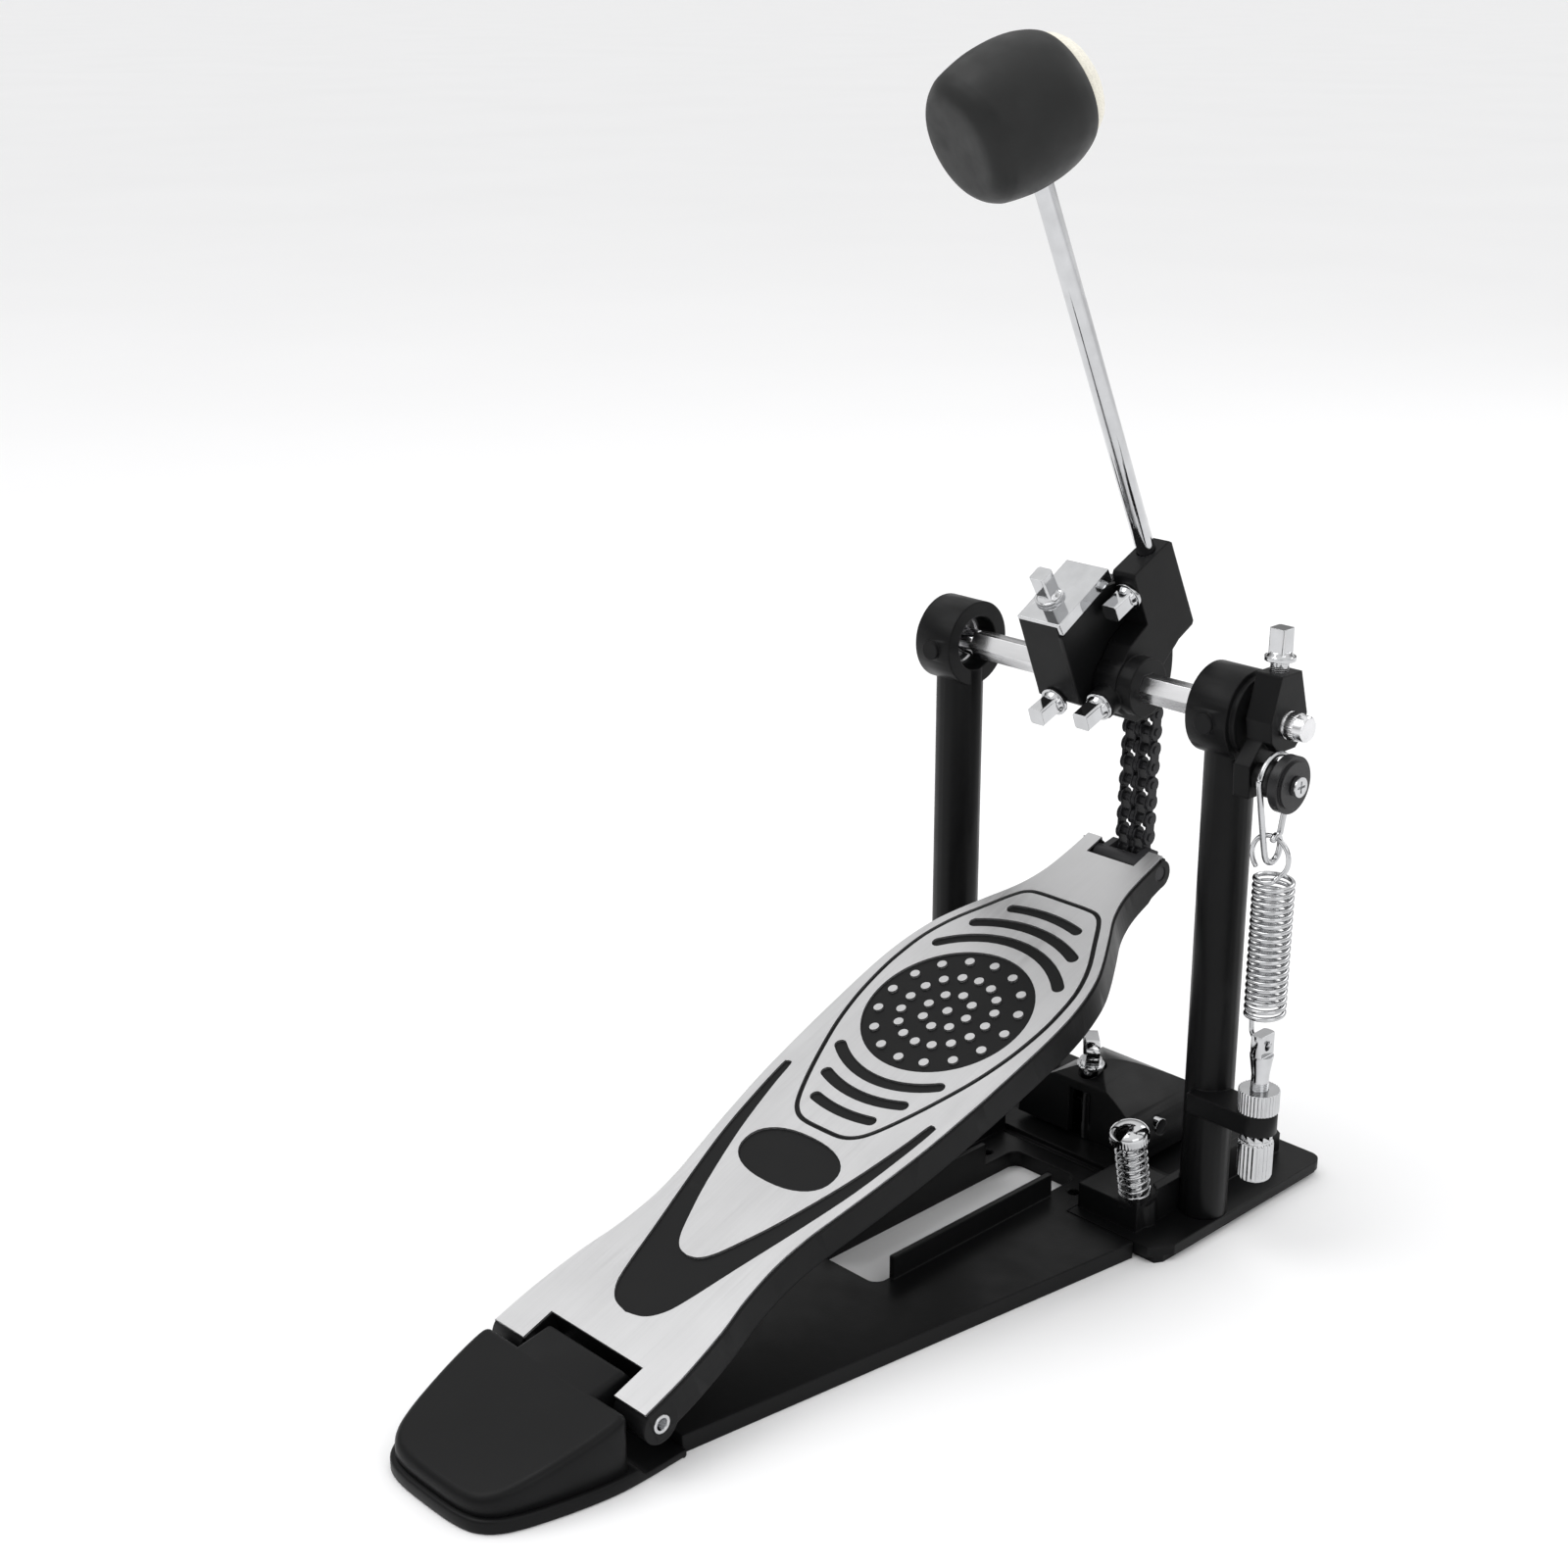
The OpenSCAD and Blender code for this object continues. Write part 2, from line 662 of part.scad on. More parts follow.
// Black footboard casting: top plate, skirt, hinge lugs and toe ears
module footboard() {
  color(black) on_board() difference() {
    union() {
      intersection() {
        translate([0, 0, -skirt]) linear_extrude(skirt - face_t) board_2d(edge_w);
        yz(-60, 60) polygon([[-5, 1], [board_len + 2, 1], [board_len + 2, -toe_drop],
          [toe_s + 1, -toe_drop - 5.3], [toe_s - 7, -toe_drop - 5.6], [toe_s - 9, -skirt], [-5, -skirt]]);
      }
      // hinge lugs and toe ears
      mirrored() {
        translate([0, hinge_s, -board_drop]) bar_x(heel_half + 0.4, 35.1, lug_r);
        translate([0, toe_s, -toe_drop - 0.4]) bar_x(toe_half, 17.1, 5.2);
      }
    }
    // seat of the bare metal lands
    translate([-60, 0, -face_t]) cube([120, board_len - 2, 10]);
    // hollow underside
    difference() {
      translate([0, 0, -skirt - e]) linear_extrude(skirt - board_t + e)
        polygon(concat(
          [for (p = board_curve) if (p.y > 14 && p.y < board_len - 22) [p.x - 2.4, p.y]],
          flipped([for (p = board_curve) if (p.y > 14 && p.y < board_len - 22) [p.x - 2.4, p.y]])));
      for (s = [60, 110, 160, 210]) translate([-50, s, -30]) cube([100, 2.4, 30]);
      translate([-1.5, 0, -30]) cube([3, 300, 30]);
    }
    translate([0, hinge_s, -board_drop]) bar_x(-40, 40, hinge_pin_r);
    translate([0, toe_s, -toe_drop]) bar_x(-40, 40, toe_pin_r);
    // room for the heel block's knuckle and for the connector
    translate([-heel_half, -20, -skirt - e]) cube([2 * heel_half, 20 + heel_cut, 30]);
    translate([-toe_half, board_len - toe_cut, -skirt - e]) cube([2 * toe_half, 30, 30]);
  }
}
// A curved slot centred on the disc: mid radius, half angle, half width
module arc_slot(r, half, w) {
  n = 16;
  polygon(concat(
    [for (i = [0:n]) let (a = -half + 2 * half * i / n) (r + w) * [sin(a), cos(a)]],
    [for (i = [1:7]) let (a = half, b = 180 * i / 8)
      r * [sin(a), cos(a)] + w * [sin(a + b), cos(a + b)]],
    [for (i = [n:-1:0]) let (a = -half + 2 * half * i / n) (r - w) * [sin(a), cos(a)]],
    [for (i = [1:7]) let (a = -half, b = 180 + 180 * i / 8)
      r * [sin(a), cos(a)] + w * [sin(a + b), cos(a + b)]]));
}
// Right-hand halves of the closed outlines, from the heel side to the toe side
vee_half = [[0, 23.6], [6.4, 25.2], [10.8, 29.4], [13.6, 36], [18.2, 53], [24.3, 75],
  [29.2, 95], [32.3, 115], [33.5, 127], [32.9, 128.5], [31.6, 128.9], [30.4, 127.6],
  [28.6, 117], [24, 97], [16.9, 75], [11, 61], [7.4, 54], [4, 50.6], [0, 49.6]];
loop_half = [[0, 110], [8, 110.3], [13, 112.4], [17, 117], [22, 127], [27.2, 140], [31.2, 152],
  [34, 165], [35.3, 178], [35.2, 188], [33.9, 199], [30.2, 210], [24.2, 221], [19, 230],
  [15.4, 233.6], [10.6, 234.7], [0, 234.8]];
function closed(p, n = 4) = let (s = smooth(p, n))
  concat(s, flipped([for (i = [1:len(s) - 2]) s[i]]));
disc_s = 172.4;
slots = [[36.8, 45.9, 2.15], [45, 28.4, 2.15], [53, 15.4, 2], [36.6, 36.6, 2.1], [44.7, 22.1, 2.1],
  [53, 13.3, 2]];
module footboard_face() {
  loop = closed(loop_half);
  color(alloy) on_board() translate([0, 0, -face_t]) linear_extrude(face_t) {
    difference() {
      board_2d(0);
      polygon(closed(vee_half));
      polygon([for (a = [0:10:350]) [
        19.7 * sign(cos(a)) * pow(abs(cos(a)), 0.88),
        95.4 + 10.8 * sign(sin(a)) * pow(abs(sin(a)), 0.88)]]);
      difference() {
        polygon(inset(loop, -0.45));
        polygon(inset(loop, 1.25));
      }
      translate([0, disc_s]) {
        circle(r = disc_r, $fn = 96);
        for (i = [0:5]) rotate(i < 3 ? 0 : 180) arc_slot(slots[i][0], slots[i][1], slots[i][2]);
      }
    }
    translate([0, disc_s]) {
      circle(r = 1.65, $fn = 24);
      for (ring = [[8, 8.2], [16, 16.4], [16, 24.6]]) for (i = [0:ring[0] - 1])
        rotate(i * 360 / ring[0]) translate([ring[1], 0]) circle(r = 1.65, $fn = 24);
    }
  }
}
module toe_pin() {
  color(dark) on_board() translate([0, toe_s, -toe_drop]) bar_x(-16.9, 16.9, toe_pin_r - fit);
}
// Clevis that joins the chain's last pin to the toe pin
module chain_connector() {
  ty = heel_y + toe_s * cos(board_tilt) + toe_drop * sin(board_tilt);
  tz = heel_z + toe_s * sin(board_tilt) - toe_drop * cos(board_tilt);
  color(dark) difference() {
    union() {
      translate([0, ty, tz]) bar_x(-10, 10, 3.9);
      mirrored() yz(5.8, 8.6) polygon([[ty - 1, tz - 3.7], [low_y + 2.2, low_z - 1.8],
        [low_y + 2.4, low_z + 1.2], [low_y - 1, low_z + 3], [ty - 1.6, tz + 3.4]]);
    }
    translate([0, ty, tz]) bar_x(-20, 20, toe_pin_r);
  }
  color(dark) translate([0, low_y, low_z]) bar_x(-9.2, 9.2, pin_r);
}
module connector_screws() {
  color(chrome) on_board() mirrored() translate([12.6, board_len - 26, 0]) {
    translate([0, 0, -skirt - 3]) cylinder(h = 3, r = 3.4, $fn = 6);
  }
}

// ---------------------------------------------------------------- axle assembly

module axle_shaft() {
  x0 = post_x - head_len / 2 - 0.35;
  color(chrome) at_axle() {
    translate([-x0, 0, 0]) rotate([0, 90, 0]) rotate([0, 0, 30])
      cylinder(h = 2 * x0, r = hex_r, $fn = 6);
    bar_x(-post_x - head_len / 2 + 1.5, -x0 + e, journal_r);
    // the free end takes a linkage
    bar_x(x0 - e, end_x0, journal_r);
    bar_x(end_x0 - e, axle_end - 0.6, end_r);
    translate([axle_end - 0.6, 0, 0]) rotate([0, 90, 0])
      cylinder(h = 0.6, r1 = end_r, r2 = end_r - 0.6);
  }
}
// Side view of the sprocket, which is cut off flat at the front and below
sprocket_side = [[-27.75, 22.3], [-17, -3.3], [-16.2, -5.5], [14.5, -18.3], [34, -15.9], [60, 0],
  [43, 64.5]];
// Profile that leaves a round seat and a widening mouth at each roller
module seats_2d() {
  for (k = [0:teeth - 1]) rotate(tangent_a + k * step) {
    translate([pitch_r, 0]) circle(r = roller_r + gap, $fn = 24);
    polygon([[pitch_r, -roller_r - gap], [pitch_r + 4, -2.9], [pitch_r + 4, 2.9],
      [pitch_r, roller_r + gap]]);
  }
}
module sprocket() {
  color(black) at_axle() difference() {
    union() {
      // core
      yz(-7.4, 9.3) intersection() {
        circle(r = core_r, $fn = 96);
        polygon(sprocket_side);
      }
      // two rows of teeth
      for (x = [-strand_x, strand_x]) yz(x - 1.3, x + 1.3) difference() {
        intersection() {
          circle(r = 31.4, $fn = 96);
          polygon(sprocket_side);
        }
        seats_2d();
        rotate(clamp_a) translate([20, -2]) square([40, 40]);
      }
      // right-hand cheek
      difference() {
        yz(7.5, 9.3) intersection() {
          circle(r = cheek_r, $fn = 96);
          polygon(sprocket_side);
        }
        // room for the clamp plate's folded side
        polar(clamp_a) translate([7, -12.8, clamp_n - 3.2]) cube([3, 28.4, 10]);
      }
      // block for the chain's clamped end and the hub bolt
      polar(clamp_a) {
        yz(-block_half, block_half) polygon([[-16.3, 5.9], [-12.4, clamp_n], [3.4, clamp_n],
          [3.4, 27.2], [8, 25.9], [8, 0], [-4, -9.5], [-16.7, 3.6]]);
        for (x = [-block_half, block_half - 0.7]) yz(x, x + 0.7)
          polygon([[-12, 20], [-12.3, clamp_n], [14.6, clamp_n], [14.6, 18]]);
      }
      bar_x(-10.5, 9.3, 11);
    }
    rotate([0, 90, 0]) rotate([0, 0, 30]) translate([0, 0, -20])
      cylinder(h = 40, r = hex_r + 0.06, $fn = 6);
    polar(clamp_a) translate([clamp_bolt_x, clamp_bolt_t, 12]) cylinder(h = 40, r = bolt_r + 0.05);
    translate([-1, 0, 0]) polar(bolt_a) {
      cylinder(h = 40, r = bolt_r + 0.05);
      translate([0, 0, 17.4]) cylinder(h = 20, r = 5.1);
    }
  }
}
module sprocket_bolt() {
  color(chrome) at_axle() translate([-1, 0, 0]) polar(bolt_a) translate([0, 0, 17.4])
    key_bolt(12.2);
}
module clamp_plate() {
  color(chrome) at_axle() polar(clamp_a) difference() {
    union() {
      translate([-block_half, -12.6, clamp_n]) cube([2 * block_half, 28, 1.5]);
      translate([block_half, -12.6, clamp_n - 3]) cube([1.5, 28, 4.5]);
    }
    translate([clamp_bolt_x, clamp_bolt_t, 0]) cylinder(h = 60, r = bolt_r + 0.1);
  }
}
module clamp_bolt() {
  color(chrome) at_axle() polar(clamp_a)
    translate([clamp_bolt_x, clamp_bolt_t, clamp_n + 1.5]) key_bolt(20);
}
module beater_holder() {
  color(black) at_axle() difference() {
    union() {
      // arm that carries the rod, drawn in the rod's own direction
      polar(rod_a) yz(hold_x0, hold_x1) polygon([[13, 33.6], [14, 34.6], [32.6, 34.6],
        [33.6, 33.4], [33.8, 1.3], [32.8, 0.3], [25, 0], [9.4, -5], [-3, -10.2], [-10.4, -2],
        [-8, 7], [3, 13.5], [13, 15]]);
      bar_x(hold_x0, hold_x1, 10.7);
      bar_x(hold_x1 - e, 24, 9.8);
      // boss of the hub bolt
      translate([hub_bolt_x, 0, 0]) polar(bolt_a) translate([0, 0, 8]) cylinder(h = 6, r = 5.2);
    }
    rotate([0, 90, 0]) rotate([0, 0, 30]) cylinder(h = 40, r = hex_r + 0.06, $fn = 6);
    polar(rod_a) translate([rod_x, rod_v, -20]) cylinder(h = 80, r = rod_r + fit);
    polar(rod_a) translate([rod_x, rod_v, 26]) rotate([90, 0, 0])
      cylinder(h = rod_v, r = bolt_r + 0.05);
    translate([hub_bolt_x, 0, 0]) polar(bolt_a) cylinder(h = 40, r = bolt_r + 0.05);
  }
}
module holder_bolt() {
  color(chrome) at_axle() translate([hub_bolt_x, 0, 0]) polar(bolt_a) translate([0, 0, 14])
    key_bolt(8.8);
}
module beater_bolt() {
  color(chrome) at_axle() polar(rod_a) translate([rod_x, 13, 26]) rotate([90, 0, 0])
    key_bolt(rod_v - 13 - rod_r - gap);
}

module rocker_arm() {
  x0 = 69;
  x1 = 78.4;
  color(black) difference() {
    union() {
      at_axle() yz(x0, x1) polygon([[-5.2, 16.4], [5.2, 16.4], [9.6, 2], [8.6, -4.4], [4.4, -8.4],
        [-4.4, -8.4], [-8.6, -4.4], [-9.6, 2]]);
      // arm down to the roller
      yz(x0, 75) {
        polygon([[-8, axle_z - 4], [5, axle_z - 6], [roller_y + 6, roller_z - 2],
          [roller_y + 5, roller_z - 6.6], [roller_y - 5, roller_z - 6.6], [roller_y - 5.6, roller_z + 4]]);
      }
      translate([0, roller_y, roller_z]) bar_x(74.9, 77.6, 4.2);
    }
    at_axle() bar_x(60, 90, journal_r + 0.03);
    at_axle() translate([73.6, 0, 0]) cylinder(h = 30, r = bolt_r + 0.05);
    translate([0, roller_y, roller_z]) bar_x(60, 90, 1.8);
  }
}
module rocker_bolt() {
  color(chrome) at_axle() translate([73.6, 0, 20]) key_bolt(15.3);
}
module roller_screw() {
  color(chrome) translate([0, roller_y, roller_z]) {
    bar_x(70, 89, 1.75);
    difference() {
      bar_x(88.6, 90.4, 3.2);
      translate([89.6, -0.4, -2]) cube([2, 0.8, 4]);
      translate([89.6, -2, -0.4]) cube([2, 4, 0.8]);
    }
  }
}
// Flanged roller that the stirrup hangs on
module roller() {
  color(dark) translate([0, roller_y, roller_z]) difference() {
    union() {
      bar_x(77.9, 84.4, 5.9);
      bar_x(83.4, 84.4, 8);
      bar_x(84.3, 87.4, 9.2);
      bar_x(87.3, 88.3, 7.6);
    }
    bar_x(70, 95, 1.75 + fit);
  }
}

// ---------------------------------------------------------------- beater

module beater_rod() {
  color(chrome) at_axle() polar(rod_a) translate([rod_x, rod_v, 4])
    cylinder(h = head_u - 4 + 12, r = rod_r);
}
// Profiles of the head about its own axis: radius, distance towards the drum
head_curve = smooth([[0, -23.4], [7, -23.5], [12, -23.45], [14.8, -23.1], [16.5, -22.1],
  [18.4, -20.2], [20, -17.3], [20.9, -13.4], [21.7, -8.5], [21.9, -3.7], [21.7, 1.2], [20.9, 6.1],
  [19.6, 10], [18, 12.7], [17.2, 13.3]], 3);
felt_curve = smooth([[16.5, 13.6], [16.2, 15.4], [15.3, 17.4], [13.6, 19], [10.5, 20.2],
  [5.4, 20.8], [0, 20.9]], 3);
module on_head() {
  at_axle() polar(rod_a) translate([rod_x, rod_v, head_u]) rotate([0, 0, -head_turn])
    rotate([-90, 0, 0]) children();
}
module beater_head() {
  color(black) difference() {
    on_head() rotate_extrude($fn = 96)
      polygon(concat(head_curve, [[16.7, 13.3], [16.7, 9], [0, 9]]));
    at_axle() polar(rod_a) translate([rod_x, rod_v, head_u - 40]) cylinder(h = 52.1, r = rod_r);
  }
}
module beater_felt() {
  color(cream) on_head() rotate_extrude($fn = 96)
    polygon(concat([[0, 9.1], [16.5, 9.1]], felt_curve));
}

// ---------------------------------------------------------------- nodes

base_plate();
heel_block();
cross_casting();
post_left();
post_right();
bearing_left();
bearing_right();
hinge_pin();
frame_screws();
swivel_bolt();
return_spring();
hoop_pad();
jaw_pin();
spur_spring_left();
spur_spring_right();
footboard();
footboard_face();
toe_pin();
chain_connector();
connector_screws();
axle_shaft();
sprocket();
chain_wrapped();
clamp_plate();
clamp_bolt();
sprocket_bolt();
beater_holder();
holder_bolt();
beater_bolt();
rocker_arm();
rocker_bolt();
roller_screw();
roller();
beater_rod();
beater_head();
beater_felt();
chain_link_1();
chain_link_2();
chain_link_3();
chain_link_4();
chain_hanging();
stirrup();
lock_nut();
tension_nut();
clamp_jaw();
wing_screw();
spur_left();
spur_right();
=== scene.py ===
"""Looks of the bass drum pedal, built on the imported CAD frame.

Metres, in the CAD's frame: X to the player's right, Y towards the drum, Z up.
CAD nodes whose shape is right are kept, with a small bevel and a procedural material.
The wire parts, the spurs, the beater, the felt, the heel block, the hoop pad and the knurled nut
are rebuilt in mesh code. Mesh code works in millimetres; piece() turns its meshes into metres.
"""

import json
import math

import bmesh
import bpy
from mathutils import Matrix, Vector, noise


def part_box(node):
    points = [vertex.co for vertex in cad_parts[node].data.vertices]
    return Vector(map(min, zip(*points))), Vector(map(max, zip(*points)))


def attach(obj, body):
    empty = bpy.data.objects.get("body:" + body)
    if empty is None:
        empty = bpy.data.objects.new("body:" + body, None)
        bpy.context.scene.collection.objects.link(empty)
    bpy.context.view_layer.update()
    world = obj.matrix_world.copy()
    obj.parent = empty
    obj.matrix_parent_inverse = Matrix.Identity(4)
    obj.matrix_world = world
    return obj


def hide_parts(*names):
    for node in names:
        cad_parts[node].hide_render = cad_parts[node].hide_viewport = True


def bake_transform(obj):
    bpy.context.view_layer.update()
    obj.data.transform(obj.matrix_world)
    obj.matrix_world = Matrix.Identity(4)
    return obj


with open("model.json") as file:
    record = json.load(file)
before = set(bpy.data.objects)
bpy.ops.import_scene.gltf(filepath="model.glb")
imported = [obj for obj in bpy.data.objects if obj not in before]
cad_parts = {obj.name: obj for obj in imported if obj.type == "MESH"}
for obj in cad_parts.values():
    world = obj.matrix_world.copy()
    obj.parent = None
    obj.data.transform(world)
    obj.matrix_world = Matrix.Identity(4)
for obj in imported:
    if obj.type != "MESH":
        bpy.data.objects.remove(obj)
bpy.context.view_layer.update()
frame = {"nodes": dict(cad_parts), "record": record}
NODES = frame["nodes"]
MM = 0.001

# Places that part.scad fixes, in millimetres
AXLE_Z = 183.3
ROD_LEAN = math.radians(25.7)
ROD_X, ROD_V, HEAD_U = 14.1, 26.0, 189.9
HEAD_TURN = math.radians(15)
SPRING_X, LUG_Y = 81.0, -6.0
ROLLER_Y, ROLLER_Z = -9.0, 168.0
COIL_R, WIRE_R, COILS = 6.0, 0.8, 20
SPRING_LOW, SPRING_HIGH = 88.0, 135.0
EYE_Z, RING_Z, RING_R = 77.5, 143.0, 6.8
SPUR_X, SPUR_Y, SPUR_TILT = 46.0, -19.5, math.radians(11)
BOARD_TILT = math.radians(20.6)
HINGE_Y, HINGE_Z = -223.2, 16.6
HEEL_REAR = -232.7            # rear edge of the heel block's cover
HEEL_TOP = 23.15              # height of the cover there
COVER_SLOPE, TONGUE_SLOPE = 0.292, 0.14
# Right half of the heel block's plan, from the nose
HEEL_SIDE = [(0, -280.5), (11, -280.2), (19, -278.5), (24.4, -274.2), (27.8, -267.5),
             (30.6, -258), (33, -247), (34.3, -237), (34.4, -227), (33.9, -213)]


# ---------------------------------------------------------------- materials

class Shader:
    """A principled material whose inputs can be driven by object-space noise."""

    def __init__(self, name, colour, metallic, roughness):
        self.material = bpy.data.materials.new(name)
        self.material.use_nodes = True
        self.tree = self.material.node_tree
        self.bsdf = self.tree.nodes["Principled BSDF"]
        self.colour = colour
        self.roughness = roughness
        self.set("Base Color", (*colour, 1))
        self.set("Metallic", metallic)
        self.set("Roughness", roughness)
        self.coords = self.node("ShaderNodeTexCoord")

    def node(self, kind, **values):
        made = self.tree.nodes.new(kind)
        for key, value in values.items():
            setattr(made, key, value)
        return made

    def set(self, socket, value):
        self.bsdf.inputs[socket].default_value = value

    def link(self, a, b):
        self.tree.links.new(a, b)

    def noise(self, size, detail=3.0, stretch=(1, 1, 1), turn=0.0):
        """Noise with features about size metres across, longer along the axes with stretch above 1."""
        mapping = self.node("ShaderNodeMapping", vector_type="TEXTURE")
        mapping.inputs["Rotation"].default_value = (turn, 0, 0)
        mapping.inputs["Scale"].default_value = [size * s for s in stretch]
        texture = self.node("ShaderNodeTexNoise")
        texture.inputs["Scale"].default_value = 1.0
        texture.inputs["Detail"].default_value = detail
        self.link(self.coords.outputs["Object"], mapping.inputs["Vector"])
        self.link(mapping.outputs["Vector"], texture.inputs["Vector"])
        return texture.outputs["Fac"]

    def vary_colour(self, fac, spread):
        """Base colour between a darker and a lighter version of itself."""
        ramp = self.node("ShaderNodeValToRGB")
        for stop, share, place in zip(ramp.color_ramp.elements, (1 - spread, 1 + spread), (0.3, 0.7)):
            stop.position = place
            stop.color = (*[min(1.0, c * share) for c in self.colour], 1)
        self.link(fac, ramp.inputs["Fac"])
        self.link(ramp.outputs["Color"], self.bsdf.inputs["Base Color"])

    def vary_roughness(self, fac, spread):
        ranged = self.node("ShaderNodeMapRange")
        ranged.inputs["From Min"].default_value = 0.3
        ranged.inputs["From Max"].default_value = 0.7
        ranged.inputs["To Min"].default_value = max(0.02, self.roughness - spread)
        ranged.inputs["To Max"].default_value = min(1.0, self.roughness + spread)
        self.link(fac, ranged.inputs["Value"])
        self.link(ranged.outputs["Result"], self.bsdf.inputs["Roughness"])

    def bump(self, fac, height, edge=0.0):
        """Relief of that height in metres; edge also rounds sharp edges in shading."""
        bump = self.node("ShaderNodeBump")
        bump.inputs["Strength"].default_value = 1.0
        bump.inputs["Distance"].default_value = height
        self.link(fac, bump.inputs["Height"])
        if edge:
            bevel = self.node("ShaderNodeBevel", samples=6)
            bevel.inputs["Radius"].default_value = edge
            self.link(bevel.outputs["Normal"], bump.inputs["Normal"])
        self.link(bump.outputs["Normal"], self.bsdf.inputs["Normal"])


def coat(name, colour, roughness, grain=0.0007, height=0.00002, edge=0.0008):
    """Satin black powder coat: fine orange peel, faint mottling."""
    s = Shader(name, colour, 0.0, roughness)
    s.set("Specular IOR Level", 0.13)
    s.vary_colour(s.noise(0.03, 4), 0.14)
    s.vary_roughness(s.noise(0.012, 5), 0.06)
    s.bump(s.noise(grain, 2), height, edge)
    return s.material


def plated(name, colour, roughness, stretch=(1, 1, 1), height=0.000004, edge=0.0003):
    """Plated steel: slight haze and handling marks, drawn along stretch."""
    s = Shader(name, colour, 1.0, roughness)
    s.vary_colour(s.noise(0.006, 4, stretch), 0.06)
    s.vary_roughness(s.noise(0.004, 5, stretch), roughness * 0.5)
    s.bump(s.noise(0.0012, 3, stretch), height, edge)
    return s.material


def moulded(name, colour, roughness, height=0.000015, edge=0.0004):
    """Moulded plastic or rubber: fine even grain."""
    s = Shader(name, colour, 0.0, roughness)
    s.set("Specular IOR Level", 0.27)
    s.vary_colour(s.noise(0.02, 4), 0.12)
    s.vary_roughness(s.noise(0.008, 4), 0.07)
    s.bump(s.noise(0.0004, 2), height, edge)
    return s.material


def bare_alloy():
    """Machined lands: brushed along the board, cloudy at the scale of a thumb."""
    s = Shader("bare_alloy", (0.52, 0.52, 0.525), 0.9, 0.4)
    brush = s.noise(0.0005, 3, (1, 60, 1), BOARD_TILT)
    cloud = s.noise(0.035, 4)
    mix = s.node("ShaderNodeMix", data_type="FLOAT")
    mix.inputs["Factor"].default_value = 0.55
    s.link(brush, mix.inputs["A"])
    s.link(cloud, mix.inputs["B"])
    s.vary_colour(mix.outputs["Result"], 0.08)
    s.vary_roughness(brush, 0.08)
    s.bump(brush, 0.000006)
    return s.material


def felt_material():
    """Pressed wool felt: matted fibres, no weave, a soft sheen."""
    s = Shader("felt", (0.82, 0.79, 0.69), 0.0, 0.95)
    s.set("Specular IOR Level", 0.15)
    s.set("Sheen Weight", 0.4)
    s.set("Sheen Roughness", 0.5)
    fibre = s.noise(0.0009, 8, (1, 1, 0.5))
    s.vary_colour(fibre, 0.09)
    s.bump(fibre, 0.00025)
    return s.material


MATERIALS = {
    "black_coat": coat("black_coat", (0.005, 0.0051, 0.0054), 0.38),
    "plate_coat": coat("plate_coat", (0.005, 0.0051, 0.0054), 0.36),
    "bright_chrome": plated("bright_chrome", (0.55, 0.555, 0.565), 0.08),
    "spring_wire": plated("spring_wire", (0.52, 0.525, 0.535), 0.14),
    "bright_steel": plated("bright_steel", (0.74, 0.74, 0.75), 0.22, (8, 1, 1)),
    "dark_steel": coat("dark_steel", (0.03, 0.03, 0.032), 0.35, 0.0004, 0.00001, 0.0003),
    "chain_steel": coat("chain_steel", (0.022, 0.022, 0.024), 0.3, 0.0004, 0.000012, 0.0003),
    "bare_alloy": bare_alloy(),
    "roller_plastic": moulded("roller_plastic", (0.016, 0.016, 0.017), 0.32),
    "head_plastic": moulded("head_plastic", (0.012, 0.0125, 0.0125), 0.5),
    "felt": felt_material(),
    "pad_rubber": moulded("pad_rubber", (0.02, 0.02, 0.02), 0.75, 0.00004),
}


# ---------------------------------------------------------------- mesh helpers

def piece(name, mesh, body, slot, replaced=()):
    """Links a mesh in millimetres as a smooth-shaded piece that rides on a body."""
    mesh.transform(Matrix.Scale(MM, 4))
    obj = bpy.data.objects.new(name, mesh)
    bpy.context.scene.collection.objects.link(obj)
    for polygon in mesh.polygons:
        polygon.use_smooth = True
    mesh.materials.append(MATERIALS[slot])
    if body:
        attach(obj, body)
    if replaced:
        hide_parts(*replaced)
    return obj


def crease(obj, degrees):
    """Keeps edges sharper than that many degrees."""
    modifier = obj.modifiers.new("split", "EDGE_SPLIT")
    modifier.split_angle = math.radians(degrees)


def mesh_from(name, verts, faces):
    mesh = bpy.data.meshes.new(name)
    mesh.from_pydata([tuple(v) for v in verts], [], faces)
    bm = bmesh.new()
    bm.from_mesh(mesh)
    bmesh.ops.recalc_face_normals(bm, faces=bm.faces)
    bm.to_mesh(mesh)
    bm.free()
    return mesh


def spline(points, steps=6):
    """Catmull-Rom curve through the points."""
    last = len(points) - 1
    out = []
    for i in range(last):
        p = [Vector(points[min(max(i + k, 0), last)]) for k in (-1, 0, 1, 2)]
        for k in range(steps):
            t = k / steps
            out.append(0.5 * (2 * p[1] + (p[2] - p[0]) * t + (2 * p[0] - 5 * p[1] + 4 * p[2] - p[3]) * t * t
                              + (3 * p[1] - p[0] - 3 * p[2] + p[3]) * t ** 3))
    out.append(Vector(points[-1]))
    return out


